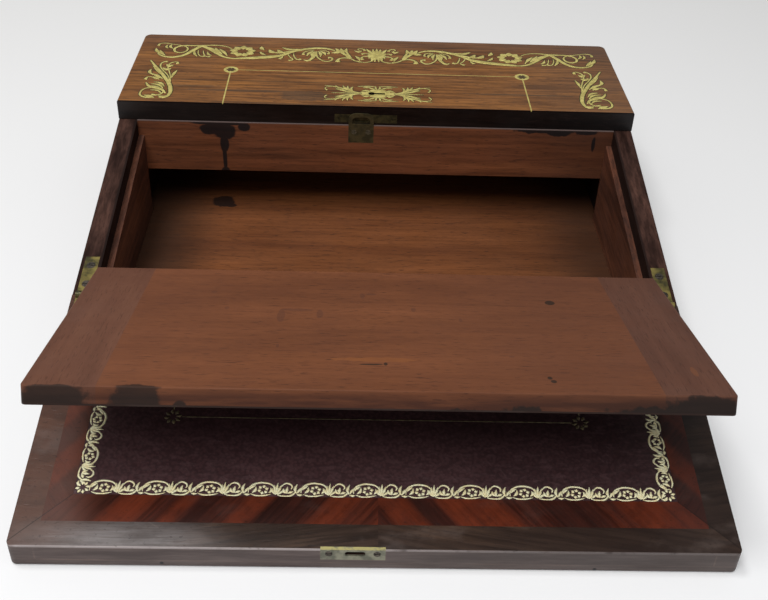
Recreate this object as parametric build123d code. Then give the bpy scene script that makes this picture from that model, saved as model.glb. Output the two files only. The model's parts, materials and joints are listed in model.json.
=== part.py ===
from build123d import *
import os
from math import cos, radians, tan

# A rosewood writing slope with brass inlay, opened for writing. All sizes are millimetres.
# X runs along the box, +Y to the back, +Z up; the box stands on z = 0. The pieces are made
# with y = 0 at the front face of the pen lid and moved at the end, so that the origin is
# under the middle of the opened box.

# ---- Driving sizes -------------------------------------------------------------------

# The whole box
box_width = 350.0
box_height = 90.0             # shut, and also the top of the pen lid
slope_run = 158.5             # pen lid's face to the front hinges, measured level
slope_angle = 11.2            # fall of the writing surface, degrees
lid_depth = 115.0
corner_radius = 5.0           # upright corners at the back
arris = 0.8                   # rounding of worn outside edges

# Boards
side_thickness = 12.4
front_wall_thickness = 9.0
back_wall_thickness = 12.0
bottom_thickness = 4.5
lining_thickness = 3.7
ledge_drop = 10.8             # rail top down to the ledge that carries the flap
partition_thickness = 6.0
partition_lift = 39.3         # table up to the partition's lower edge
partition_proud = 1.0         # how far the partition stands in front of the lid's face
pen_floor_thickness = 4.0
divider_thickness = 4.0
well_width = 45.0             # ink well at each end of the pen compartment
divider_gap = 2.7             # top of the dividers to the lid

# Pen tray
tray_depth = 52.0
tray_height = 17.0
tray_wall = 4.0
tray_scoop_radius = 30.0
tray_scoop_sink = 12.0

# Gaps
lid_gap = 0.3                 # pen lid above the walls
joint_gap = 0.3               # between the box and the open leaf
closing_gap = 0.2             # between the rails and the shut leaf
leaf_end_gap = 0.3            # shut leaf to the partition
flap_side_gap = 1.3
flap_end_gap = 0.5
flap_hinge_gap = 0.4
fit_gap = 0.3                 # loose fit of trays

# Veneer, banding and leather
veneer = 0.8
outer_banding_width = 13.6
inner_banding_width = 12.5
leaf_banding_depth = 15.0     # the leaf's inner banding at its front and back
leather_sink = 0.2            # leather below the banding's face

# Leaf and flap
leaf_end_rail = 12.0
leaf_board_thickness = 4.5
leaf_panel_thickness = 4.0
leaf_edge_radius = 3.0
flap_open_angle = 154.7       # from shut to the position in which it stands, degrees
flap_thickness = 9.0
flap_recess = 1.0             # flap's face below the rails
flap_cleat_width = 33.5
flap_corner_radius = 2.5

# Strap hinges of the leaf
leaf_hinge_width = 8.2
leaf_hinge_length = 30.5
leaf_hinge_thickness = 1.2
leaf_hinge_inset = 2.3        # wood left outside the plate
leaf_hinge_barrel = 2.2       # radius
leaf_hinge_pin = 1.1          # radius
leaf_screw_places = (8.6, 23.5)

# Butt hinges of the flap
flap_hinge_width = 28.0
flap_hinge_inset = 70.0       # side of the box to the middle of the hinge
flap_hinge_thickness = 0.9
flap_hinge_barrel = 1.6
flap_hinge_pin = 0.75
flap_plate_on_wall = 7.0
flap_plate_on_flap = 11.5

# Butt hinges of the pen lid
lid_hinge_width = 30.0
lid_hinge_inset = 65.0        # side of the box to the middle of the hinge
lid_hinge_thickness = 0.9
lid_hinge_plate = 10.5
lid_hinge_barrel = 1.9
lid_hinge_pin = 0.9
lid_hinge_standoff = 1.6      # barrel's axis behind the box

# Running clearances of the hinges
pin_clearance = 0.06
knuckle_gap = 0.2
barrel_clearance = 0.35
screw_clearance = 0.03

# Screws: head radius, shank radius, length, depth of the head
leaf_screw = (2.6, 1.3, 9.0, 1.1)
small_screw = (1.8, 0.9, 6.5, 0.8)
screw_slot_width = 0.5
screw_slot_depth = 0.4

# Lock
lock_x = -10.9                # bolt, staple and slot
bolt_width = 8.0
bolt_height = 1.6
bolt_length = 24.0
bolt_sink = 0.8               # bolt's end behind the selvedge's face
bolt_throw = 5.6              # how far the bolt slides out
bolt_rise = 3.0               # bolt's middle above the top of the box's walls
bolt_clearance = 0.2
selvedge_width = 42.4
selvedge_rise = 1.2           # selvedge's lower edge above the lid's underside
selvedge_height = 6.2
selvedge_x = -7.8
selvedge_thickness = 1.2
lock_case_width = 36.4
lock_case_depth = 28.0
lock_case_margin = 0.3        # selvedge's edge past the lock's case
keyhole_x = -4.0
keyhole_y = 20.4
keyhole_radius = 2.3
key_slit_length = 9.2
key_slit_width = 2.2
key_post_radius = 0.8
lock_screw = (1.5, 0.8, 8.0, 0.8)
lock_screw_offset = 19.3

# Staple plate on the partition
staple_width = 17.3
staple_plate_height = 13.2
staple_thickness = 0.9
arch_height = 8.6
arch_leg = 2.5
arch_top = 2.7
arch_outer_radius = 4.8
arch_inner_radius = 3.0
arch_foot = 0.9
staple_screw_offset = 4.8
staple_screw_drop = 5.0

# Lock plate on the leaf's end
leaf_plate_width = 31.0
leaf_plate_height = 7.1
leaf_plate_shift = -1.0       # plate's middle from the slot's
leaf_plate_thickness = 1.0
leaf_plate_lip = 1.6
leaf_slot_width = 9.8
leaf_slot_height = 3.0
leaf_slot_radius = 1.2        # slot's rounded ends
leaf_slot_drop = 0.1          # shut, slot's middle below the bolt's
leaf_slot_end_gap = 2.5       # past the end of the thrown bolt
leaf_plate_screw_offset = 11.5

# Brass inlay in the pen lid
string_width = 0.9
back_string_width = 0.6       # between the rosettes
rosette_inset = 70.7          # side of the box to a rosette's middle
rosette_y = 54.0
rosette_radius = 5.2
rosette_ring = 1.9
rosette_petals = 6
rosette_petal_radius = 0.55
escutcheon_x = 0.3
escutcheon_y = 20.4
escutcheon_length = 26.0
escutcheon_height = 13.0
escutcheon_end_radius = 2.6

# ---- Sizes that follow ----------------------------------------------------------------

half_width = box_width / 2
rosette_x = half_width - rosette_inset
half_gap = closing_gap / 2
hinge_height = box_height / 2
inner_x = half_width - side_thickness
lined_x = inner_x - lining_thickness
box_front = -slope_run + joint_gap / 2
leaf_back = -slope_run - joint_gap / 2
wall_inside = box_front + front_wall_thickness
partition_front = -partition_proud
partition_back = partition_front + partition_thickness
back_inside = lid_depth - back_wall_thickness
leaf_run = slope_run + partition_front - leaf_end_gap
leaf_end = -slope_run - leaf_run
tilt = radians(slope_angle)


def slope_z(y, depth=0.0):
    """Height at y of the plane that lies `depth` below the plane through the hinges."""
    return hinge_height + (y + slope_run) * tan(tilt) - depth / cos(tilt)


shoulder = slope_z(0, half_gap)
lid_bottom = shoulder + lid_gap
bolt_z = shoulder + bolt_rise
banding_bottom = half_gap + veneer
flap_axis = (wall_inside + slope_run) / cos(tilt)
flap_shut_end = (partition_front - flap_end_gap + slope_run) / cos(tilt)
flap_length = flap_shut_end - flap_axis
flap_half_width = inner_x - flap_side_gap
lid_axis_y = lid_depth + lid_hinge_standoff
lid_axis_z = shoulder + lid_gap / 2
open_centre = (leaf_end + lid_axis_y + lid_hinge_barrel) / 2
lid_edge_radius = arris + veneer / 2

# The writing surface's own frame: X along the box, Y up the slope, Z out of the surface.
slope_frame = Location((0, -slope_run, hinge_height), (slope_angle, 0, 0))
# The flap's frame, on its own hinge axis, with the flap standing open.
flap_frame = slope_frame * Location((0, flap_axis, 0), (flap_open_angle, 0, 0))


# ---- Ways of cutting wood and metal -----------------------------------------------------

def block(x, y, z):
    """A square-cut piece between the pairs of limits x, y and z."""
    middle = Pos(sum(x) / 2, sum(y) / 2, sum(z) / 2)
    return middle * Box(x[1] - x[0], y[1] - y[0], z[1] - z[0])


def side_cut(outline, x):
    """A piece with the outline of (y, z) points, between the limits x."""
    face = Plane.YZ.offset(x[0]) * Polygon(*outline, align=None)
    return extrude(face, amount=x[1] - x[0], dir=(1, 0, 0))


def slope_layer(x, y, depth):
    """A sheet that lies along the slope between two depths below the hinge plane."""
    top, bottom = depth
    outline = [
        (y[0], slope_z(y[0], bottom)),
        (y[1], slope_z(y[1], bottom)),
        (y[1], slope_z(y[1], top)),
        (y[0], slope_z(y[0], top)),
    ]
    return side_cut(outline, x)


def mitred_strips(x, y, width_x, width_y, z):
    """Four strips round a rectangle, cut at 45 degrees in plan."""
    low, high = (x[0], y[0]), (x[1], y[1])
    outer = [low, (high[0], low[1]), high, (low[0], high[1])]
    inner = [
        (low[0] + width_x, low[1] + width_y),
        (high[0] - width_x, low[1] + width_y),
        (high[0] - width_x, high[1] - width_y),
        (low[0] + width_x, high[1] - width_y),
    ]
    strips = []
    for i in range(4):
        j = (i + 1) % 4
        face = Plane.XY.offset(z[0]) * Polygon(outer[i], outer[j], inner[j], inner[i], align=None)
        strips.append(extrude(face, amount=z[1] - z[0], dir=(0, 0, 1)))
    return strips


def rod_along_x(radius, x, y=0.0, z=0.0):
    """A round rod along X between the limits x."""
    return Pos(sum(x) / 2, y, z) * Rot(0, 90, 0) * Cylinder(radius, x[1] - x[0])


def screw_shape(size, extra=0.0):
    """A countersunk screw, its head's face at the origin and its shank pointing down."""
    head_radius, shank_radius, length, head = size
    cone = Pos(0, 0, -head / 2) * Cone(shank_radius + extra, head_radius + extra, head)
    shank_length = length - head + extra
    shank = Pos(0, 0, -head - shank_length / 2) * Cylinder(shank_radius + extra, shank_length)
    return cone + shank


def screw(size):
    """A countersunk screw with its slot."""
    slot = Pos(0, 0, -screw_slot_depth / 2) * Box(3 * size[0], screw_slot_width, screw_slot_depth)
    return screw_shape(size) - slot


def drill(piece, size, places):
    """The piece with a countersunk hole at each place."""
    for place in places:
        piece = piece - place * screw_shape(size, screw_clearance)
    return piece


def hinge_barrel_room(width, radius):
    """The space that a hinge's barrel turns in, along X at the origin."""
    reach = width / 2 + knuckle_gap
    return rod_along_x(radius + barrel_clearance, (-reach, reach))


def hinge_half(plate, width, radius, pin_radius, middle):
    """A hinge plate with its knuckles: the middle one, or the two at the ends."""
    edge = width / 2
    split = width / 6
    reach = edge + knuckle_gap
    cleared = radius + barrel_clearance
    if middle:
        own = rod_along_x(radius, (-split + knuckle_gap / 2, split - knuckle_gap / 2))
        other = rod_along_x(cleared, (-reach, -split)) + rod_along_x(cleared, (split, reach))
    else:
        own = rod_along_x(radius, (-edge, -split - knuckle_gap / 2))
        own = own + rod_along_x(radius, (split + knuckle_gap / 2, edge))
        other = rod_along_x(cleared, (-split, split))
    bore = rod_along_x(pin_radius + pin_clearance, (-reach, reach))
    return plate - other + own - bore


def hinge_pin(width, radius):
    """A hinge pin along X at the origin."""
    return rod_along_x(radius, (-width / 2, width / 2))


pieces = {}


def keep(name, shape):
    """Files a finished piece, or a list of like pieces, under its name."""
    pieces[name] = shape


def mirrored_places(spacing):
    """The two places, left and right, of a pair of hinges."""
    return {"left": Pos(-spacing / 2, 0, 0), "right": Pos(spacing / 2, 0, 0)}


# ---- Hinges ------------------------------------------------------------------------------

# Leaf hinges: straps let into the rails and the leaf, their barrels on the joint.
leaf_hinge_spacing = box_width - 2 * leaf_hinge_inset - leaf_hinge_width
leaf_strap_x = (-leaf_hinge_width / 2, leaf_hinge_width / 2)
leaf_strap_z = (-half_gap - leaf_hinge_thickness, -half_gap)
box_strap = block(leaf_strap_x, (0, leaf_hinge_length), leaf_strap_z)
leaf_strap = block(leaf_strap_x, (-leaf_hinge_length, 0), leaf_strap_z)
leaf_room = hinge_barrel_room(leaf_hinge_width, leaf_hinge_barrel)

leaf_hinge_cuts = []
leaf_box_screws = []
leaf_leaf_screws = []
leaf_pins = []
for side, place in mirrored_places(leaf_hinge_spacing).items():
    here = slope_frame * place
    box_places = [here * Pos(0, d, -half_gap) for d in leaf_screw_places]
    leaf_places = [here * Pos(0, -d, -half_gap) for d in leaf_screw_places]
    box_half = hinge_half(box_strap, leaf_hinge_width, leaf_hinge_barrel, leaf_hinge_pin, False)
    leaf_half = hinge_half(leaf_strap, leaf_hinge_width, leaf_hinge_barrel, leaf_hinge_pin, True)
    keep(f"leaf_hinge_{side}_box_plate", drill(here * box_half, leaf_screw, box_places))
    keep(f"leaf_hinge_{side}_leaf_plate", drill(here * leaf_half, leaf_screw, leaf_places))
    leaf_pins.append(here * hinge_pin(leaf_hinge_width, leaf_hinge_pin))
    leaf_box_screws += box_places
    leaf_leaf_screws += leaf_places
    leaf_hinge_cuts += [here * box_strap, here * leaf_strap, here * leaf_room]
keep("leaf_hinge_pins", leaf_pins)
keep("leaf_hinge_box_screws", [place * screw(leaf_screw) for place in leaf_box_screws])
keep("leaf_hinge_leaf_screws", [place * screw(leaf_screw) for place in leaf_leaf_screws])

# Flap hinges: one plate in the front wall's top, the other in the flap's writing face.
flap_plate_x = (-flap_hinge_width / 2, flap_hinge_width / 2)
wall_plate_z = (-half_gap - flap_hinge_thickness, -half_gap)
flap_plate_z = (-flap_recess - flap_hinge_thickness, -flap_recess)
wall_plate = block(flap_plate_x, (-flap_plate_on_wall, 0), wall_plate_z)
flap_plate = block(flap_plate_x, (0, flap_plate_on_flap), flap_plate_z)
flap_room = hinge_barrel_room(flap_hinge_width, flap_hinge_barrel)
flap_screw_x = flap_hinge_width / 3

wall_hinge_cuts = []
flap_hinge_cuts = []
wall_screw_places = []
flap_screw_places = []
flap_pins = []
leaf_pockets = []
pocket_reach = flap_hinge_width / 2 + 2 * knuckle_gap
leaf_pocket = rod_along_x(flap_hinge_barrel + 2 * barrel_clearance, (-pocket_reach, pocket_reach))
for side, place in mirrored_places(box_width - 2 * flap_hinge_inset).items():
    at_wall = slope_frame * Pos(0, flap_axis, 0) * place
    at_flap = flap_frame * place
    wall_places = [at_wall * Pos(x, -flap_plate_on_wall / 2, -half_gap)
                   for x in (-flap_screw_x, flap_screw_x)]
    flap_places = [at_flap * Pos(x, flap_plate_on_flap / 2, -flap_recess)
                   for x in (-flap_screw_x, flap_screw_x)]
    wall_half = hinge_half(wall_plate, flap_hinge_width, flap_hinge_barrel, flap_hinge_pin, False)
    flap_half = hinge_half(flap_plate, flap_hinge_width, flap_hinge_barrel, flap_hinge_pin, True)
    keep(f"flap_hinge_{side}_wall_plate", drill(at_wall * wall_half, small_screw, wall_places))
    keep(f"flap_hinge_{side}_flap_plate", drill(at_flap * flap_half, small_screw, flap_places))
    flap_pins.append(at_wall * hinge_pin(flap_hinge_width, flap_hinge_pin))
    wall_screw_places += wall_places
    flap_screw_places += flap_places
    wall_hinge_cuts += [at_wall * wall_plate, at_wall * flap_room]
    flap_hinge_cuts += [at_flap * flap_plate, at_flap * flap_room]
    leaf_pockets.append(slope_frame * Pos(0, -flap_axis, 0) * place * leaf_pocket)
keep("flap_hinge_pins", flap_pins)
keep("flap_hinge_wall_screws", [place * screw(small_screw) for place in wall_screw_places])
keep("flap_hinge_flap_screws", [place * screw(small_screw) for place in flap_screw_places])

# Pen lid hinges: plates in the back wall's top and in the lid's underside.
lid_plate_x = (-lid_hinge_width / 2, lid_hinge_width / 2)
lid_plate_y = (-lid_hinge_standoff - lid_hinge_plate, 0)
back_plate_z = (-lid_gap / 2 - lid_hinge_thickness, -lid_gap / 2)
lid_plate_z = (lid_gap / 2, lid_gap / 2 + lid_hinge_thickness)
back_plate = block(lid_plate_x, lid_plate_y, back_plate_z)
lid_plate = block(lid_plate_x, lid_plate_y, lid_plate_z)
lid_room = hinge_barrel_room(lid_hinge_width, lid_hinge_barrel)
lid_screw_x = lid_hinge_width / 3
lid_screw_y = -lid_hinge_standoff - lid_hinge_plate / 2

lid_hinge_cuts = []
back_screw_places = []
lid_screw_places = []
lid_pins = []
for side, place in mirrored_places(box_width - 2 * lid_hinge_inset).items():
    here = Pos(0, lid_axis_y, lid_axis_z) * place
    back_places = [here * Pos(x, lid_screw_y, back_plate_z[1])
                   for x in (-lid_screw_x, lid_screw_x)]
    lid_places = [here * Location((x, lid_screw_y, lid_plate_z[0]), (180, 0, 0))
                  for x in (-lid_screw_x, lid_screw_x)]
    back_half = hinge_half(back_plate, lid_hinge_width, lid_hinge_barrel, lid_hinge_pin, False)
    lid_half = hinge_half(lid_plate, lid_hinge_width, lid_hinge_barrel, lid_hinge_pin, True)
    keep(f"lid_hinge_{side}_box_plate", drill(here * back_half, small_screw, back_places))
    keep(f"lid_hinge_{side}_lid_plate", drill(here * lid_half, small_screw, lid_places))
    lid_pins.append(here * hinge_pin(lid_hinge_width, lid_hinge_pin))
    back_screw_places += back_places
    lid_screw_places += lid_places
    lid_hinge_cuts += [here * back_plate, here * lid_plate, here * lid_room]
keep("lid_hinge_pins", lid_pins)
keep("lid_hinge_box_screws", [place * screw(small_screw) for place in back_screw_places])
keep("lid_hinge_lid_screws", [place * screw(small_screw) for place in lid_screw_places])


# ---- Box ---------------------------------------------------------------------------------

def cut_away(piece, cuts):
    """The piece with every cut taken out of it."""
    for cut in cuts:
        piece = piece - cut
    return piece


full_x = (-half_width, half_width)
between_sides = (-inner_x, inner_x)

# The whole box as one shape with its rounded corners; the boards are taken out of it.
carcase_outline = [
    (box_front, 0),
    (box_front, slope_z(box_front, half_gap)),
    (0, shoulder),
    (lid_depth, shoulder),
    (lid_depth, 0),
]
carcase = side_cut(carcase_outline, full_x)
back_corners = carcase.edges().filter_by(Axis.Z).group_by(Axis.Y)[-1]
carcase = fillet(back_corners, corner_radius)
rail_edges = [
    edge for edge in carcase.edges()
    if abs(abs(edge.center().X) - half_width) < 0.01
    and abs(edge.center().Y - box_front / 2) < 1
    and edge.center().Z > hinge_height
]
carcase = fillet(rail_edges, arris)

left_side = carcase & block((-half_width, -inner_x), (box_front, lid_depth), (0, box_height))
right_side = carcase & block((inner_x, half_width), (box_front, lid_depth), (0, box_height))
left_side = cut_away(left_side, leaf_hinge_cuts)
right_side = cut_away(right_side, leaf_hinge_cuts)
keep("left_side", drill(left_side, leaf_screw, leaf_box_screws[:2]))
keep("right_side", drill(right_side, leaf_screw, leaf_box_screws[2:]))

front_wall = carcase & block(between_sides, (box_front, wall_inside), (0, box_height))
front_wall = cut_away(front_wall, wall_hinge_cuts)
keep("front_wall", drill(front_wall, small_screw, wall_screw_places))

back_wall = carcase & block(between_sides, (back_inside, lid_depth), (0, box_height))
back_wall = cut_away(back_wall, lid_hinge_cuts)
keep("back_wall", drill(back_wall, small_screw, back_screw_places))

keep("bottom_board", block(between_sides, (wall_inside, back_inside), (0, bottom_thickness)))

lining_outline = [
    (wall_inside, bottom_thickness),
    (wall_inside, slope_z(wall_inside, half_gap + ledge_drop)),
    (partition_front, slope_z(partition_front, half_gap + ledge_drop)),
    (partition_front, bottom_thickness),
]
keep("left_lining", side_cut(lining_outline, (-inner_x, -lined_x)))
keep("right_lining", side_cut(lining_outline, (lined_x, inner_x)))

# ---- Partition and staple ----------------------------------------------------------------

# The staple plate is let in flush with the partition's face; its arch stands in front of
# the pen lid, and the bolt passes through it.
staple_y = (partition_front, partition_front + staple_thickness)
staple_low = shoulder - staple_plate_height
staple_high = shoulder + arch_height
staple_x = (lock_x - staple_width / 2, lock_x + staple_width / 2)


def upright_plate(x, z, radius, y):
    """An upright plate across the box with its two top corners rounded."""
    plate = block(x, y, z)
    tops = plate.edges().filter_by(Axis.Y).group_by(Axis.Z)[-1]
    return fillet(tops, radius)


window_x = (staple_x[0] + arch_leg, staple_x[1] - arch_leg)
window_z = (shoulder + arch_foot, staple_high - arch_top)
past_plate = (staple_y[0] - 1, staple_y[1] + 1)
staple_blank = upright_plate(staple_x, (staple_low, staple_high), arch_outer_radius, staple_y)
staple_window = upright_plate(window_x, window_z, arch_inner_radius, past_plate)
staple_screw_places = [
    Location((lock_x + x, partition_front, shoulder - staple_screw_drop), (90, 0, 0))
    for x in (-staple_screw_offset, staple_screw_offset)
]
staple_screw = (small_screw[0], small_screw[1], partition_thickness - 1, small_screw[3])
keep("staple_plate", drill(staple_blank - staple_window, staple_screw, staple_screw_places))
keep("staple_screws", [place * screw(staple_screw) for place in staple_screw_places])

partition_y = (partition_front, partition_back)
partition = block(between_sides, partition_y, (partition_lift, shoulder))
partition = partition - block(staple_x, staple_y, (staple_low, shoulder))
keep("partition", drill(partition, staple_screw, staple_screw_places))

# ---- Pen compartment ---------------------------------------------------------------------

pen_floor_top = partition_lift + pen_floor_thickness
pen_y = (partition_back, back_inside)
keep("pen_floor", block(between_sides, pen_y, (partition_lift, pen_floor_top)))

divider_inside = inner_x - well_width - divider_thickness
divider_z = (pen_floor_top, lid_bottom - divider_gap)
divider_low = (-divider_inside - divider_thickness, -divider_inside)
divider_high = (divider_inside, divider_inside + divider_thickness)
keep("ink_well_divider_left", block(divider_low, pen_y, divider_z))
keep("ink_well_divider_right", block(divider_high, pen_y, divider_z))

tray_x = (-divider_inside + fit_gap, divider_inside - fit_gap)
tray_y = (partition_back + fit_gap, partition_back + fit_gap + tray_depth)
tray_top = pen_floor_top + tray_height
scoop_x = (tray_x[0] + tray_wall, tray_x[1] - tray_wall)
scoop_z = tray_top + tray_scoop_radius - tray_scoop_sink
scoop = rod_along_x(tray_scoop_radius, scoop_x, sum(tray_y) / 2, scoop_z)
keep("pen_tray", block(tray_x, tray_y, (pen_floor_top, tray_top)) - scoop)

# ---- Pen lid and its inlay ---------------------------------------------------------------

veneer_bottom = box_height - veneer
lid = block(full_x, (0, lid_depth), (lid_bottom, box_height))
lid_corners = lid.edges().filter_by(Axis.Z).group_by(Axis.Y)[-1]
lid = fillet(lid_corners, corner_radius)
lid_rim = lid.faces().sort_by(Axis.Z)[-1].edges().sort_by(Axis.Y)[1:]
lid = fillet(lid_rim, lid_edge_radius)

through_veneer = (veneer_bottom, box_height)


def flat_inlay(face):
    """An inlay of the veneer's thickness, from a flat face in plan."""
    return extrude(Plane.XY.offset(veneer_bottom) * face, amount=veneer, dir=(0, 0, 1))


# Brass lines: one between the rosettes and one from each rosette to the front edge.
half_string = string_width / 2
back_string_y = (rosette_y - back_string_width / 2, rosette_y + back_string_width / 2)
strings = [block((-rosette_x, rosette_x), back_string_y, through_veneer)]
for x in (-rosette_x, rosette_x):
    strings.append(block((x - half_string, x + half_string), (0, rosette_y), through_veneer))
rosette_cuts = [Pos(x, rosette_y, box_height) * Cylinder(rosette_radius, 4 * veneer)
                for x in (-rosette_x, rosette_x)]
strings = [cut_away(string, rosette_cuts) for string in strings]

# Rosettes: rings with petals that point to the middle.
rosettes = []
for x in (-rosette_x, rosette_x):
    ring = Circle(rosette_radius) - Circle(rosette_radius - rosette_ring)
    petal = Pos(0, rosette_radius - rosette_ring) * Ellipse(rosette_petal_radius, rosette_ring / 2)
    for i in range(rosette_petals):
        ring = ring + Rot(0, 0, i * 360 / rosette_petals) * petal
    rosettes.append(flat_inlay(Pos(x, rosette_y) * ring))

# Escutcheon: a long oval with lobed ends round the keyhole.
keyhole = Pos(keyhole_x, keyhole_y) * Circle(keyhole_radius)
key_slit = Pos(keyhole_x + key_slit_length / 2, keyhole_y) * Rectangle(key_slit_length, key_slit_width)
keyhole = keyhole + key_slit
lobe_x = escutcheon_length / 2 - escutcheon_end_radius
oval = Ellipse(lobe_x - escutcheon_end_radius / 2, escutcheon_height / 2)
for x in (-lobe_x, lobe_x):
    oval = oval + Pos(x, 0) * Circle(escutcheon_end_radius)
escutcheon = flat_inlay(Pos(escutcheon_x, escutcheon_y) * oval - keyhole)
key_bore = extrude(Plane.XY.offset(bolt_z) * keyhole, amount=box_height - bolt_z, dir=(0, 0, 1))

lid_veneer = lid & block(full_x, (0, lid_depth), through_veneer)
for inlay in strings + rosettes + [escutcheon]:
    lid_veneer = lid_veneer - inlay
keep("lid_veneer", lid_veneer - key_bore)
keep("lid_strings", strings)
keep("lid_rosettes", rosettes)
keep("escutcheon", escutcheon)

# Lock: the selvedge lies flush in the lid's front edge, with the case behind it.
selvedge_span = (selvedge_x - selvedge_width / 2, selvedge_x + selvedge_width / 2)
selvedge_z = (lid_bottom + selvedge_rise, lid_bottom + selvedge_rise + selvedge_height)
selvedge_body = block(selvedge_span, (0, selvedge_thickness), selvedge_z)
case_middle = sum(selvedge_z) / 2
case_z = (selvedge_z[0] + lock_case_margin, selvedge_z[1] - lock_case_margin)
case_x = (selvedge_x - lock_case_width / 2, selvedge_x + lock_case_width / 2)
case_body = block(case_x, (selvedge_thickness, lock_case_depth), case_z)

bolt_x = (lock_x - bolt_width / 2, lock_x + bolt_width / 2)
bolt_y = (bolt_sink, bolt_sink + bolt_length)
bolt_zs = (bolt_z - bolt_height / 2, bolt_z + bolt_height / 2)
room_x = (bolt_x[0] - bolt_clearance, bolt_x[1] + bolt_clearance)
room_z = (bolt_zs[0] - bolt_clearance / 2, bolt_zs[1] + bolt_clearance / 2)
bolt_room = block(room_x, (-1, bolt_y[1] + bolt_clearance), room_z)
key_sweep = Pos(keyhole_x, keyhole_y, bolt_z) * Cylinder(key_slit_length - 1, room_z[1] - room_z[0])
key_sweep = key_sweep & block(case_x, (2 * selvedge_thickness, lock_case_depth - 1), room_z)
key_post = Pos(keyhole_x, keyhole_y, bolt_z) * Cylinder(key_post_radius, room_z[1] - room_z[0] + bolt_height)
lock_case = case_body - bolt_room - (key_sweep - key_post) - (key_bore - key_post)
keep("lock_case", lock_case)

talon = Pos(keyhole_x, keyhole_y, bolt_z) * Cylinder(key_slit_length - 1, 2 * bolt_height)
keep("lock_bolt", block(bolt_x, bolt_y, bolt_zs) - talon)

selvedge_screw_places = [
    Location((selvedge_x + x, 0, case_middle), (90, 0, 0))
    for x in (-lock_screw_offset, lock_screw_offset)
]
lid_cuts = lid_hinge_cuts + [selvedge_body, case_body, key_bore]
lid_board = lid & block(full_x, (0, lid_depth), (lid_bottom, veneer_bottom))
lid_board = drill(cut_away(lid_board, lid_cuts), small_screw, lid_screw_places)
lid_board = drill(lid_board, lock_screw, selvedge_screw_places)
keep("lid_board", lid_board)
keep("lock_selvedge", drill(selvedge_body - bolt_room, lock_screw, selvedge_screw_places))
keep("lock_screws", [place * screw(lock_screw) for place in selvedge_screw_places])

# ---- Leaf --------------------------------------------------------------------------------

leaf_y = (leaf_end, leaf_back)
leaf_outline = [
    (leaf_end, 0),
    (leaf_end, slope_z(leaf_end, half_gap)),
    (leaf_back, slope_z(leaf_back, half_gap)),
    (leaf_back, 0),
]
leaf = side_cut(leaf_outline, full_x)
leaf_corners = leaf.edges().filter_by(Axis.Z).group_by(Axis.Y)[0]
leaf = fillet(leaf_corners, leaf_edge_radius)
under_rim = leaf.faces().sort_by(Axis.Z)[0].edges().sort_by(Axis.Y)[:-1]
leaf = fillet(under_rim, leaf_edge_radius / 2)

# The lock plate: a plate on the end face with a lip folded over the writing surface.
plate_middle = lock_x + leaf_plate_shift
plate_x = (plate_middle - leaf_plate_width / 2, plate_middle + leaf_plate_width / 2)
plate_y = (leaf_end, leaf_end + leaf_plate_thickness)
plate_top = slope_z(leaf_end, half_gap)
lip_y = (leaf_end, leaf_end + leaf_plate_lip)
plate_body = block(plate_x, plate_y, (plate_top - leaf_plate_height, plate_top))
plate_body = plate_body + slope_layer(plate_x, lip_y, (half_gap, banding_bottom))
slot_middle = box_height - bolt_z + leaf_slot_drop
slot_depth = bolt_throw - bolt_sink - (partition_proud + leaf_end_gap) + leaf_slot_end_gap
slot_z = (slot_middle - leaf_slot_height / 2, slot_middle + leaf_slot_height / 2)
slot_x = (lock_x - leaf_slot_width / 2, lock_x + leaf_slot_width / 2)
bolt_slot = block(slot_x, (leaf_end - 1, leaf_end + slot_depth), slot_z)
bolt_slot = fillet(bolt_slot.edges().filter_by(Axis.Y), leaf_slot_radius)
plate_screw_places = [
    Location((plate_middle + x, leaf_end, slot_middle), (90, 0, 0))
    for x in (-leaf_plate_screw_offset, leaf_plate_screw_offset)
]
keep("leaf_lock_plate", drill(plate_body - bolt_slot, small_screw, plate_screw_places))
keep("leaf_lock_screws", [place * screw(small_screw) for place in plate_screw_places])

leaf_core_y = (leaf_end + leaf_end_rail, leaf_back - front_wall_thickness)
leaf_cuts = leaf_hinge_cuts + leaf_pockets + [plate_body, bolt_slot]
above_board = (leaf_board_thickness, box_height)
under_banding = slope_layer(full_x, leaf_y, (banding_bottom, box_height)) & leaf


def leaf_part(x, y, z):
    """A part of the leaf's framing, under the banding."""
    return cut_away(under_banding & block(x, y, z), leaf_cuts)


leaf_left = leaf_part((-half_width, -inner_x), leaf_y, above_board)
leaf_right = leaf_part((inner_x, half_width), leaf_y, above_board)
leaf_end_rail_part = leaf_part(between_sides, (leaf_end, leaf_core_y[0]), above_board)
keep("leaf_outer_board", leaf_part(full_x, leaf_y, (0, leaf_board_thickness)))
keep("leaf_left_side", drill(leaf_left, leaf_screw, leaf_leaf_screws[:2]))
keep("leaf_right_side", drill(leaf_right, leaf_screw, leaf_leaf_screws[2:]))
keep("leaf_end_rail", drill(leaf_end_rail_part, small_screw, plate_screw_places))
keep("leaf_hinge_rail", leaf_part(between_sides, (leaf_core_y[1], leaf_back), above_board))

panel_depth = (banding_bottom, banding_bottom + leaf_panel_thickness)
leaf_panel = slope_layer(between_sides, leaf_core_y, panel_depth)
keep("leaf_panel", cut_away(leaf_panel, leaf_pockets))

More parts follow.
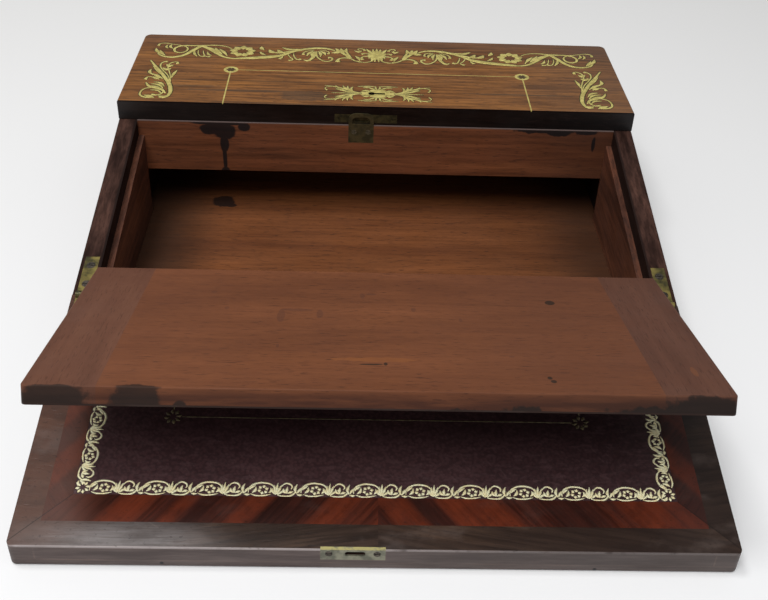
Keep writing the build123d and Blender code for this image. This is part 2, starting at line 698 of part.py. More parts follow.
# Banding strips, mitred at the corners, round the leather.
band_run = cos(tilt)
strip_z = (0, box_height)
inner_x_span = (-half_width + outer_banding_width, half_width - outer_banding_width)
inner_y_span = (leaf_end + outer_banding_width * band_run, leaf_back - outer_banding_width * band_run)
banding_layer = slope_layer(full_x, leaf_y, (half_gap, banding_bottom)) & leaf
outer_strips = mitred_strips(full_x, leaf_y, outer_banding_width,
                             outer_banding_width * band_run, strip_z)
inner_strips = mitred_strips(inner_x_span, inner_y_span, inner_banding_width,
                             leaf_banding_depth * band_run, strip_z)
keep("leaf_outer_banding", [cut_away(banding_layer & strip, leaf_cuts) for strip in outer_strips])
keep("leaf_inner_banding", [cut_away(banding_layer & strip, leaf_cuts) for strip in inner_strips])

leather_x = (inner_x_span[0] + inner_banding_width, inner_x_span[1] - inner_banding_width)
leather_y = (inner_y_span[0] + leaf_banding_depth * band_run,
             inner_y_span[1] - leaf_banding_depth * band_run)
keep("leaf_leather", slope_layer(leather_x, leather_y, (half_gap + leather_sink, banding_bottom)))

# ---- Flap --------------------------------------------------------------------------------

# Drawn shut in its own frame: Y away from the hinge, Z out of the writing face. The far
# end is cut to stand upright when shut, against the partition.
flap_x = (-flap_half_width, flap_half_width)
flap_y = (flap_hinge_gap, flap_length)
flap_face = -flap_recess
flap_back = flap_face - flap_thickness
core_top = flap_face - veneer
flap_undercut = flap_thickness * tan(tilt)
flap_outline = [
    (flap_hinge_gap, flap_back),
    (flap_hinge_gap, flap_face),
    (flap_length, flap_face),
    (flap_length - flap_undercut, flap_back),
]
flap_blank = side_cut(flap_outline, flap_x)
end_face = flap_blank.faces().sort_by(Axis.Y)[-1]
flap_blank = fillet(end_face.edges().filter_by(Axis.X, reverse=True), flap_corner_radius)
back_rim = flap_blank.faces().sort_by(Axis.Z)[0].edges()
flap_blank = flap_frame * fillet(back_rim, arris)


def flap_part(x, z):
    """A part of the flap between the limits x and z of its own frame."""
    piece = flap_blank & (flap_frame * block(x, flap_y, z))
    return drill(cut_away(piece, flap_hinge_cuts), small_screw, flap_screw_places)


core_x = (-flap_half_width + flap_cleat_width, flap_half_width - flap_cleat_width)
core_z = (flap_back, core_top)
keep("flap_panel", flap_part(core_x, core_z))
keep("flap_left_cleat", flap_part((flap_x[0], core_x[0]), core_z))
keep("flap_right_cleat", flap_part((core_x[1], flap_x[1]), core_z))

flap_strips = mitred_strips(flap_x, flap_y, inner_banding_width, inner_banding_width,
                            (core_top, flap_face))
keep("flap_banding", [cut_away(flap_blank & (flap_frame * strip), flap_hinge_cuts)
                      for strip in flap_strips])
flap_leather_x = (flap_x[0] + inner_banding_width, flap_x[1] - inner_banding_width)
flap_leather_y = (flap_y[0] + inner_banding_width, flap_y[1] - inner_banding_width)
flap_leather = block(flap_leather_x, flap_leather_y, (core_top, flap_face - leather_sink))
keep("flap_leather", flap_frame * flap_leather)

# ---- Files -------------------------------------------------------------------------------

os.makedirs("parts", exist_ok=True)
to_origin = Pos(0, -open_centre, 0)
for name, shape in pieces.items():
    solids = shape if isinstance(shape, list) else [shape]
    moved = [solid for piece in solids for solid in (to_origin * piece).solids()]
    node = moved[0] if len(moved) == 1 else Compound(children=moved)
    export_step(node, f"parts/{name}.step")
print("middle of the opened box:", round(open_centre, 3))
print("shoulder:", round(shoulder, 3), "lid thickness:", round(box_height - lid_bottom, 3))
print("flap axis:", round(flap_axis, 3), "flap length:", round(flap_length, 3))
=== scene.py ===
import bmesh
import bpy
import json
import math
from mathutils import Matrix, Vector


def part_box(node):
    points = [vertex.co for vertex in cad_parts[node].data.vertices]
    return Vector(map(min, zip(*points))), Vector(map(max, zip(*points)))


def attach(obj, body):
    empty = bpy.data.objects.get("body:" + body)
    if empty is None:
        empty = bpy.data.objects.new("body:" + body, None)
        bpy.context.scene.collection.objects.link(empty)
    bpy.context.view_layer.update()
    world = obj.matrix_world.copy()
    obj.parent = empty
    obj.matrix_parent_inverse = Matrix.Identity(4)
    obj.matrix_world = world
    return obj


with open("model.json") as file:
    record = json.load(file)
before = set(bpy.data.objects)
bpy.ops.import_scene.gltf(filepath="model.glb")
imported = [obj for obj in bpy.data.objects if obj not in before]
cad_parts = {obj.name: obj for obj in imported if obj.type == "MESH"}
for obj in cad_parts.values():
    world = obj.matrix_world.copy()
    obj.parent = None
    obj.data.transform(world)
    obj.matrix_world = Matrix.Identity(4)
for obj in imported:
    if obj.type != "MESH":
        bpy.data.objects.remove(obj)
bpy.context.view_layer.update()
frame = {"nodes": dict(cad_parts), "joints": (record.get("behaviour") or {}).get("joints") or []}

# ---- Sides of the box and frame of the leaf ---------------------------------------------
# Dark rosewood rails, French polished and worn. The leaf is framed in the same wood, and
# its outer board is the top of the box when the slope is shut.

MM = 0.001
nodes = frame["nodes"]
joints = {joint["name"]: joint for joint in frame["joints"]}
box_low, box_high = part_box("left_side")[0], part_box("right_side")[1]
half_width = box_high.x
lid_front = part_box("lid_veneer")[0].y
slope_hinge = Vector(joints["leaf_fold"]["pos_m"])
slope_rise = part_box("partition")[1].z - slope_hinge.z
slope_angle = math.atan2(slope_rise, lid_front - slope_hinge.y)


def add(tree, kind, sockets=(), **settings):
    """One shader node: its settings, then its inputs as values or as links."""
    made = tree.nodes.new("ShaderNode" + kind)
    for name, value in settings.items():
        setattr(made, name, value)
    for name, value in dict(sockets).items():
        if isinstance(value, bpy.types.NodeSocket):
            tree.links.new(value, made.inputs[name])
        else:
            made.inputs[name].default_value = value
    return made


def maths(tree, operation, *values, clamp=False):
    """The result of a Math node on one to three values."""
    return add(tree, "Math", enumerate(values), operation=operation, use_clamp=clamp).outputs[0]


def vector_maths(tree, operation, *values):
    """The vector that a Vector Math node gives."""
    return add(tree, "VectorMath", enumerate(values), operation=operation).outputs[0]


def mixed(tree, factor, first, second, mode="MIX"):
    """Two colours mixed by a factor."""
    sockets = {0: factor, 6: first, 7: second}
    return add(tree, "Mix", sockets, data_type="RGBA", blend_type=mode).outputs[2]


def ramp(tree, value, low, high, bottom=0.0, top=1.0):
    """A value taken smoothly from between low and high to between bottom and top."""
    sockets = {"Value": value, "From Min": low, "From Max": high, "To Min": bottom, "To Max": top}
    return add(tree, "MapRange", sockets, interpolation_type="SMOOTHSTEP").outputs[0]


def noise(tree, place, stretch, detail=3.0, rough=0.55):
    """Noise on a place, stretched by a scale for each axis."""
    scaled = vector_maths(tree, "MULTIPLY", place, stretch)
    sockets = {"Vector": scaled, "Scale": 1.0, "Detail": detail, "Roughness": rough}
    return add(tree, "TexNoise", sockets).outputs["Fac"]


def new_group(name, inputs, outputs):
    """An empty shader node group with named sockets, and its two end nodes."""
    group = bpy.data.node_groups.new(name, "ShaderNodeTree")
    for way, sockets in (("INPUT", inputs), ("OUTPUT", outputs)):
        for socket, kind in sockets.items():
            group.interface.new_socket(socket, in_out=way, socket_type="NodeSocket" + kind)
    return group, group.nodes.new("NodeGroupInput").outputs, group.nodes.new("NodeGroupOutput").inputs


def placed(tree, group, **sockets):
    """A node group set in a tree; underscores in the names stand for spaces."""
    made = tree.nodes.new("ShaderNodeGroup")
    made.node_tree = group
    for name, value in sockets.items():
        name = name.replace("_", " ")
        if isinstance(value, bpy.types.NodeSocket):
            tree.links.new(value, made.inputs[name])
        else:
            made.inputs[name].default_value = value
    return made.outputs


def make_wood_group():
    """Wood with its grain along X: broad figure, streaks between, and fine open pores."""
    inputs = {"Place": "Vector", "Deep": "Color", "Middle": "Color", "Light": "Color",
              "Figure": "Vector", "Waviness": "Float", "Streaks": "Float", "Pores": "Float"}
    group, given, result = new_group("Wood", inputs, {"Color": "Color", "Grain": "Float"})
    waves = noise(group, given["Place"], (9.0, 30.0, 30.0), 2.0)
    sway = maths(group, "MULTIPLY", maths(group, "SUBTRACT", waves, 0.5), given["Waviness"])
    offset = add(group, "CombineXYZ", {"Y": sway, "Z": sway}).outputs[0]
    along = vector_maths(group, "ADD", given["Place"], offset)
    figure = noise(group, along, given["Figure"], 5.0, 0.6)
    streak = noise(group, along, (22.0, 420.0, 420.0), 4.0, 0.65)
    pore = noise(group, along, (150.0, 1400.0, 1400.0), 2.0, 0.5)
    base = mixed(group, ramp(group, figure, 0.36, 0.52), given["Deep"], given["Middle"])
    base = mixed(group, ramp(group, figure, 0.5, 0.68), base, given["Light"])
    shade = maths(group, "MULTIPLY", ramp(group, streak, 0.62, 0.34), given["Streaks"])
    base = mixed(group, shade, base, (0.1, 0.07, 0.06, 1), "MULTIPLY")
    open_pores = ramp(group, pore, 0.58, 0.7)
    base = mixed(group, maths(group, "MULTIPLY", open_pores, given["Pores"]), base, (0.02, 0.01, 0.008, 1))
    group.links.new(base, result["Color"])
    depth = maths(group, "MULTIPLY", open_pores, -1.0)
    group.links.new(maths(group, "ADD", depth, maths(group, "MULTIPLY", streak, 0.5)), result["Grain"])
    return group


def make_wear_group():
    """Wear along a piece's own edges, broken up by noise."""
    inputs = {"Place": "Vector", "Width": "Float"}
    group, given, result = new_group("Worn edges", inputs, {"Wear": "Float"})
    rounded = add(group, "Bevel", {"Radius": given["Width"]}, samples=4).outputs[0]
    flat = add(group, "NewGeometry").outputs["Normal"]
    turn = add(group, "VectorMath", {0: rounded, 1: flat}, operation="DOT_PRODUCT").outputs["Value"]
    edge = ramp(group, turn, 0.995, 0.86)
    patches = ramp(group, noise(group, given["Place"], (60.0, 90.0, 90.0), 3.0), 0.32, 0.62, 0.25, 1.0)
    group.links.new(maths(group, "MULTIPLY", edge, patches), result["Wear"])
    return group


def make_blot_group():
    """A soft-edged spot with a ragged rim: 1 inside, 0 outside."""
    inputs = {"Place": "Vector", "Centre": "Vector", "Reach": "Vector", "Ragged": "Float"}
    group, given, result = new_group("Ink blot", inputs, {"Mask": "Float"})
    away = vector_maths(group, "DIVIDE",
                        vector_maths(group, "SUBTRACT", given["Place"], given["Centre"]), given["Reach"])
    distance = add(group, "VectorMath", {0: away}, operation="LENGTH").outputs["Value"]
    rim = maths(group, "SUBTRACT", noise(group, given["Place"], (190.0, 190.0, 190.0), 3.0), 0.5)
    ragged = maths(group, "ADD", distance, maths(group, "MULTIPLY", rim, given["Ragged"]))
    group.links.new(ramp(group, ragged, 1.05, 0.8), result["Mask"])
    return group


wood_group = make_wood_group()
wear_group = make_wear_group()
blot_group = make_blot_group()


def new_material(name):
    """An empty node material, with the place of each point in the object."""
    material = bpy.data.materials.new(name)
    material.use_nodes = True
    material.node_tree.nodes.clear()
    tree = material.node_tree
    return material, tree, add(tree, "TexCoord").outputs["Object"]


def finish_surface(tree, color, roughness, height=None, bump=0.1, **plain):
    """The Principled surface of a material, with an optional bump; underscores stand for spaces."""
    sockets = {"Base Color": color, "Roughness": roughness, "Specular IOR Level": 0.3}
    sockets.update({name.replace("_", " "): value for name, value in plain.items()})
    if height is not None:
        normal = add(tree, "Bump", {"Strength": bump, "Distance": 0.2 * MM, "Height": height})
        sockets["Normal"] = normal.outputs[0]
    surface = add(tree, "BsdfPrincipled", sockets)
    add(tree, "OutputMaterial", {"Surface": surface.outputs[0]})


def in_frame(tree, place, origin, angle):
    """The place as seen in a frame at origin, turned about X."""
    sockets = {"Vector": place, "Location": origin, "Rotation": (angle, 0, 0)}
    return add(tree, "Mapping", sockets, vector_type="TEXTURE").outputs[0]


def turned(tree, place, angle):
    """The place turned about Z, so that grain along X runs across."""
    return add(tree, "Mapping", {"Vector": place, "Rotation": (0, 0, angle)}).outputs[0]


def wood_material(name, deep, middle, light, figure, streaks=0.5, pores=0.5, waviness=0.004,
                  roughness=0.42, angle=0.0, wear=0.0, shine=0.3, tint=None):
    """A polished wood. `tint` may change its colour by the place on the piece."""
    material, tree, place = new_material(name)
    grain_place = turned(tree, place, angle) if angle else place
    wood = placed(tree, wood_group, Place=grain_place, Deep=deep, Middle=middle, Light=light,
                  Figure=figure, Waviness=waviness, Streaks=streaks, Pores=pores)
    color = wood["Color"]
    if tint:
        color = tint(tree, place, color)
    if wear:
        worn = placed(tree, wear_group, Place=place, Width=1.2 * MM)["Wear"]
        lighter = mixed(tree, 1.0, color, (2.3, 2.1, 1.9, 1), "MULTIPLY")
        color = mixed(tree, maths(tree, "MULTIPLY", worn, wear), color, lighter)
    rub = noise(tree, place, (25.0, 40.0, 40.0), 3.0)
    finish_surface(tree, color, ramp(tree, rub, 0.3, 0.7, roughness - 0.08, roughness + 0.1),
                   wood["Grain"], 0.12, Specular_IOR_Level=shine)
    return material


DEEP = 40.0                   # reach across a board, so that only two axes shape a blot


def blots(tree, place, spots):
    """One mask for many blots, each given as (centre, reach, ragged rim) in millimetres."""
    total = 0.0
    for centre, reach, ragged in spots:
        mask = placed(tree, blot_group, Place=place, Centre=[c * MM for c in centre],
                      Reach=[r * MM for r in reach], Ragged=ragged)["Mask"]
        total = maths(tree, "MAXIMUM", mask, total)
    return total


def ink_on(tree, color, mask, strength=0.93, ink=(0.006, 0.006, 0.007, 1)):
    """The colour with ink over it where the mask is."""
    return mixed(tree, maths(tree, "MULTIPLY", mask, strength), color, ink)


def dress(material, *names):
    """Puts a material on carried-over pieces."""
    for name in names:
        for slot in nodes[name].material_slots:
            slot.material = material


leaf_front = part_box("leaf_outer_board")[0].y


def rail_rebate_shade(tree, place, color):
    """Painted shade, near black, along the inner edge of the rail and down the face of its rebate."""
    across = maths(tree, "ABSOLUTE", add(tree, "SeparateXYZ", {0: place}).outputs["X"])
    # painted shade: near black inward of the rail's top, on the rebate's face
    inside = ramp(tree, across, half_width - 10.4 * MM, half_width - 11.8 * MM)
    return mixed(tree, maths(tree, "MULTIPLY", inside, 0.85), color, (0.012, 0.007, 0.006, 1))


def end_wear_and_reflection(tree, place, color):
    """The leaf's front edge: pale with handling wear and a painted reflection of the table, darker to the
    right, with two small nail holes.
    """
    parts = add(tree, "SeparateXYZ", {0: place}).outputs
    near = ramp(tree, parts["Y"], leaf_front + 1.6 * MM, leaf_front + 0.4 * MM)
    bleach_and_sheen = noise(tree, place, (16.0, 160.0, 160.0), 4.0, 0.65)
    # handling wear mixed with a painted reflection of the pale table
    pale = mixed(tree, ramp(tree, bleach_and_sheen, 0.3, 0.7), (0.06, 0.04, 0.036, 1), (0.13, 0.095, 0.086, 1))
    right = ramp(tree, parts["X"], -60 * MM, 150 * MM)
    pale = mixed(tree, maths(tree, "MULTIPLY", right, 0.35), pale, (0.06, 0.05, 0.045, 1))
    holes = [((-103, leaf_front / MM, 2.8), (1.0, DEEP, 1.0), 0.2), ((105, leaf_front / MM, 1.8), (1.0, DEEP, 0.9), 0.2)]
    pale = ink_on(tree, pale, blots(tree, place, holes), 0.95)
    return mixed(tree, near, color, pale)


rosewood = ((0.026, 0.012, 0.009, 1), (0.058, 0.028, 0.021, 1), (0.1, 0.048, 0.035, 1))
rail_wood = wood_material("Dark rosewood rails", *rosewood, (6.0, 110.0, 110.0), angle=math.pi / 2,
                          roughness=0.5, wear=0.15, shine=0.06, tint=rail_rebate_shade)
board_wood = wood_material("Dark rosewood boards", *rosewood, (6.0, 110.0, 110.0), wear=0.4,
                           tint=end_wear_and_reflection)
dress(rail_wood, "left_side", "right_side")
dress(board_wood, "leaf_outer_board", "leaf_end_rail", "leaf_hinge_rail", "leaf_left_side",
      "leaf_right_side")

# ---- Inside walls, linings and partition -----------------------------------------------
# Oiled mahogany, dull and browned with age. Ink has run down the partition from the pen
# compartment and dried nearly black.


front_y = lid_front / MM
partition_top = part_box("partition")[1].z
partition_ink = [
    ((-114, front_y, 71), (8, DEEP, 4.5), 0.6),
    ((-104, front_y, 69.5), (8, DEEP, 6.5), 0.5),
    ((-108, front_y, 75.5), (22, DEEP, 1.6), 0.6),
    ((-104.6, front_y, 60), (3.2, DEEP, 7), 0.4),
    ((-104.8, front_y, 50), (1.5, DEEP, 14), 0.3),
    ((-104.8, front_y, 39), (3.2, DEEP, 3), 0.4),
    ((-90.5, front_y, 73), (4.4, DEEP, 3.4), 0.5),
    ((114, front_y, 75.8), (24, DEEP, 2.6), 1.1),
    ((124, front_y, 74.5), (9, DEEP, 3.4), 0.8),
    ((144, front_y, 75.4), (8, DEEP, 2.6), 0.9),
    ((150, front_y, 66), (1.4, DEEP, 6), 0.9),
]


def partition_tint(tree, place, color):
    """Ink runs, grime in the right-hand corner and a painted highlight along the top arris."""
    parts = add(tree, "SeparateXYZ", {0: place}).outputs
    grime = ramp(tree, parts["X"], 60 * MM, 165 * MM)
    color = mixed(tree, maths(tree, "MULTIPLY", grime, 0.6), color, (0.05, 0.02, 0.012, 1))
    color = ink_on(tree, color, blots(tree, place, partition_ink))
    # painted highlight: a pale line along the top arris
    arris = ramp(tree, parts["Z"], partition_top - 0.7 * MM, partition_top - 0.1 * MM)
    return mixed(tree, arris, color, (0.14, 0.1, 0.09, 1))


mahogany = ((0.13, 0.043, 0.018, 1), (0.185, 0.06, 0.025, 1), (0.25, 0.085, 0.034, 1))
dark_mahogany = ((0.07, 0.025, 0.014, 1), (0.12, 0.042, 0.022, 1), (0.17, 0.06, 0.03, 1))
outer_skin = 0.9 * MM


def wall_tint(tree, place, color):
    """Rosewood veneer on the outer faces of the front and back walls."""
    along = add(tree, "SeparateXYZ", {0: place}).outputs["Y"]
    behind = ramp(tree, along, wall_back - outer_skin, wall_back - 0.5 * outer_skin)
    before = ramp(tree, along, wall_front + outer_skin, wall_front + 0.5 * outer_skin)
    outside = maths(tree, "MAXIMUM", behind, before)
    return mixed(tree, maths(tree, "MULTIPLY", outside, 0.75), color, (0.032, 0.017, 0.014, 1))


wall_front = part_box("front_wall")[0].y
wall_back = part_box("back_wall")[1].y
wall_wood = wood_material("Mahogany walls", *mahogany, (7.0, 60.0, 60.0), roughness=0.55, tint=wall_tint)
lining_wood = wood_material("Mahogany linings", *dark_mahogany, (7.0, 60.0, 60.0), roughness=0.55,
                            angle=math.pi / 2)
partition_wood = wood_material("Mahogany partition", *mahogany, (5.0, 90.0, 90.0), roughness=0.5,
                               streaks=0.35, tint=partition_tint)
dress(wall_wood, "front_wall", "back_wall", "pen_tray", "leaf_panel")
dress(lining_wood, "left_lining", "right_lining", "ink_well_divider_left", "ink_well_divider_right")
dress(partition_wood, "partition")

# ---- Bottom board and floor of the pen compartment ----------------------------------------
# Plain red-brown boards, grain from side to side, darker at the walls with dirt and painted
# shade, and with one ink spot under the pen compartment.


def bottom_tint(tree, place, color):
    spots = [((-110, front_y + 14, 4), (9, 8, DEEP), 0.7), ((-104, front_y + 9, 4), (4, 3, DEEP), 0.6)]
    color = ink_on(tree, color, blots(tree, place, spots), 0.85)
    # dirt and painted shade: darker near the side walls, more on the left, a little on the right
    across = maths(tree, "ABSOLUTE", add(tree, "SeparateXYZ", {0: place}).outputs["X"])
    dirt_and_shade = ramp(tree, across, 0.1, 0.155)
    color = mixed(tree, maths(tree, "MULTIPLY", dirt_and_shade, 0.75), color, (0.03, 0.014, 0.008, 1))
    sideways = add(tree, "SeparateXYZ", {0: place}).outputs["X"]
    left = ramp(tree, sideways, -100 * MM, -145 * MM)
    color = mixed(tree, maths(tree, "MULTIPLY", left, 0.45), color, (0.02, 0.01, 0.006, 1))
    right = ramp(tree, sideways, 30 * MM, 120 * MM)
    return mixed(tree, maths(tree, "MULTIPLY", right, 0.3), color, (0.04, 0.016, 0.008, 1))


bottom_wood = wood_material("Bottom board", (0.14, 0.046, 0.017, 1), (0.18, 0.061, 0.021, 1),
                            (0.235, 0.08, 0.027, 1), (4.5, 40.0, 40.0), streaks=0.25, pores=0.6,
                            roughness=0.6, shine=0.2, tint=bottom_tint)
dress(bottom_wood, "bottom_board", "pen_floor")

# ---- Lid of the pen compartment --------------------------------------------------------
# A board veneered with figured rosewood: warm brown with orange and purplish bands and a
# few near-black lines, darker and greyer towards the back and the right.


rosette_at = (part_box("lid_rosettes")[1].x / MM - 5.2, front_y + 54)


def lid_tint(tree, place, color):
    """Greyer to the back and right, with dark lines, smoky patches and a black front edge."""
    parts = add(tree, "SeparateXYZ", {0: place}).outputs
    back = ramp(tree, parts["Y"], lid_front + 88 * MM, lid_front + 116 * MM)
    color = mixed(tree, maths(tree, "MULTIPLY", back, 0.5), color, (0.11, 0.06, 0.042, 1))
    right = ramp(tree, parts["X"], 70 * MM, 175 * MM)
    color = mixed(tree, maths(tree, "MULTIPLY", right, 0.5), color, (0.12, 0.068, 0.044, 1))
    line_noise = noise(tree, place, (6.0, 330.0, 330.0), 3.0)
    bands = ramp(tree, noise(tree, place, (2.2, 24.0, 24.0), 2.0), 0.45, 0.62)
    lines = maths(tree, "MULTIPLY", ramp(tree, line_noise, 0.54, 0.62), bands)
    color = mixed(tree, maths(tree, "MULTIPLY", lines, 0.65), color, (0.035, 0.022, 0.014, 1))
    smoke = [((-50, front_y + 14, 90), (20, 8, DEEP), 1.0), ((-92, front_y + 20, 90), (48, 1.8, DEEP), 0.9),
             ((-130, front_y + 26, 90), (26, 1.4, DEEP), 0.8), ((100, front_y + 24, 90), (40, 1.4, DEEP), 0.9)]
    color = mixed(tree, maths(tree, "MULTIPLY", blots(tree, place, smoke), 0.5), color,
                  (0.045, 0.036, 0.026, 1))
    middles = [((side * rosette_at[0], rosette_at[1], 90), (3.6, 3.6, DEEP), 0.0) for side in (-1, 1)]
    color = ink_on(tree, color, blots(tree, place, middles), 0.85, (0.045, 0.04, 0.02, 1))
    edge = ramp(tree, parts["Y"], lid_front + 0.5 * MM, lid_front + 0.2 * MM)
    return mixed(tree, edge, color, (0.006, 0.003, 0.003, 1))


lid_wood = wood_material("Rosewood lid veneer", (0.17, 0.068, 0.02, 1), (0.25, 0.1, 0.027, 1),
                         (0.35, 0.145, 0.037, 1), (7.0, 62.0, 62.0), streaks=0.6, pores=0.7,
                         waviness=0.008, roughness=0.42, wear=0.1, shine=0.15, tint=lid_tint)
black_wood = wood_material("Blackened lid edge", (0.004, 0.002, 0.002, 1), (0.008, 0.004, 0.003, 1),
                           (0.016, 0.009, 0.007, 1), (5.0, 60.0, 60.0), roughness=0.45)
dress(lid_wood, "lid_veneer")
dress(black_wood, "lid_board")

# ---- Brass lines, rosettes and escutcheon ------------------------------------------------
# Sheet brass let into the veneer and rubbed flush, dulled to olive yellow in the low spots.


def brass_material(name, bright, dull, roughness, metal, patch=120.0, tint=None):
    """Brass with uneven tarnish."""
    material, tree, place = new_material(name)
    tarnish = ramp(tree, noise(tree, place, (patch,) * 3, 4.0), 0.36, 0.66)
    rough = ramp(tree, noise(tree, place, (900.0,) * 3, 2.0), 0.3, 0.7, roughness - 0.07, roughness + 0.12)
    color = mixed(tree, tarnish, bright, dull)
    color = tint(tree, place, color) if tint else color
    finish_surface(tree, color, rough,
                   noise(tree, place, (1500.0,) * 3, 2.0), 0.08, Metallic=metal)
    return material


inlay_brass = brass_material("Inlaid brass", (0.7, 0.6, 0.19, 1), (0.5, 0.41, 0.12, 1), 0.42, 0.3, 260.0)
engraved_line = brass_material("Dark olive outline", (0.05, 0.04, 0.015, 1), (0.025, 0.02, 0.01, 1),
                               0.6, 0.0)

lid_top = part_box("lid_veneer")[1].z


def keyhole_shade(tree, place, color):
    """Painted shade: black inside the keyhole, below the plate's face."""
    height = add(tree, "SeparateXYZ", {0: place}).outputs["Z"]
    below = ramp(tree, height, lid_top - 0.05 * MM, lid_top - 0.15 * MM)
    return mixed(tree, below, color, (0.012, 0.01, 0.006, 1))


escutcheon_brass = brass_material("Escutcheon brass", (0.7, 0.6, 0.19, 1), (0.5, 0.41, 0.12, 1), 0.42, 0.3,
                                  260.0, keyhole_shade)
dress(inlay_brass, "lid_strings", "lid_rosettes")
dress(escutcheon_brass, "escutcheon")

# ---- Brass marquetry of the lid --------------------------------------------------------
# Scrolling stems, leaves and flowers sawn from sheet brass. Each is drawn as a tapered
# stroke in millimetres from the middle of the lid's front edge, and mirrored left to right.




def taper(shape, count):
    """Half-widths along a stroke: a stem, a leaf with a fat middle, or a curl with a round end."""
    steps = [i / (count - 1) for i in range(count)]
    if shape == "leaf":
        return [0.25 + 0.95 * math.sin(math.pi * t ** 0.75) for t in steps]
    if shape == "curl":
        return [0.35 + 0.3 * t + (0.55 if t == 1 else 0.0) for t in steps]
    if shape == "even":
        return [1.0 for t in steps]
    return [0.35 + 0.65 * math.sin(math.pi * t) for t in steps]


def stroke_mesh(name, strokes, spread=0.0, flatness=0.08, sides=1, resolution=4):
    """A mesh of tapered strokes in plan, each (shape, half-width, points) in millimetres."""
    curve = bpy.data.curves.new(name, "CURVE")
    curve.dimensions = "3D"
    curve.twist_mode = "Z_UP"
    curve.bevel_depth = 1.0
    curve.bevel_resolution = sides
    curve.resolution_u = resolution
    curve.use_fill_caps = True
    for shape, half, points in strokes:
        spline = curve.splines.new("BEZIER")
        spline.bezier_points.add(len(points) - 1)
        widths = taper(shape, len(points))
        for knot, place, width in zip(spline.bezier_points, points, widths):
            knot.co = (place[0], place[1], 0)
            knot.handle_left_type = knot.handle_right_type = "AUTO"
            knot.radius = half * width + spread
    drawn = bpy.data.objects.new(name, curve)
    bpy.context.scene.collection.objects.link(drawn)
    bpy.context.view_layer.update()
    mesh = bpy.data.meshes.new_from_object(drawn.evaluated_get(bpy.context.evaluated_depsgraph_get()))
    bpy.data.objects.remove(drawn)
    mesh.transform(Matrix.Diagonal((1, 1, flatness, 1)))
    return mesh


def inlay_piece(name, mesh, place, material, body):
    """A finished piece from a mesh drawn in millimetres, set in its place on a body."""
    mesh.transform(place @ Matrix.Scale(MM, 4))
    shape = bmesh.new()
    shape.from_mesh(mesh)
    bmesh.ops.remove_doubles(shape, verts=shape.verts, dist=0.001 * MM)
    bmesh.ops.recalc_face_normals(shape, faces=shape.faces)
    shape.to_mesh(mesh)
    shape.free()
    mesh.materials.clear()
    mesh.materials.append(material)
    piece = bpy.data.objects.new(name, mesh)
    bpy.context.scene.collection.objects.link(piece)
    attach(piece, body)
    return piece


def mirrored(strokes):
    """The strokes and their mirror images in X."""
    return strokes + [(shape, half, [(-x, y) for x, y in points]) for shape, half, points in strokes]


def flower(x, y, petals, reach, half, start=0.0):
    """Petals round a bare middle."""
    made = []
    for i in range(petals):
        angle = start + i * 2 * math.pi / petals
        c, s = math.cos(angle), math.sin(angle)
        made.append(("leaf", half, [(x + r * c, y + r * s) for r in (0.38 * reach, 0.7 * reach, reach)]))
    return made


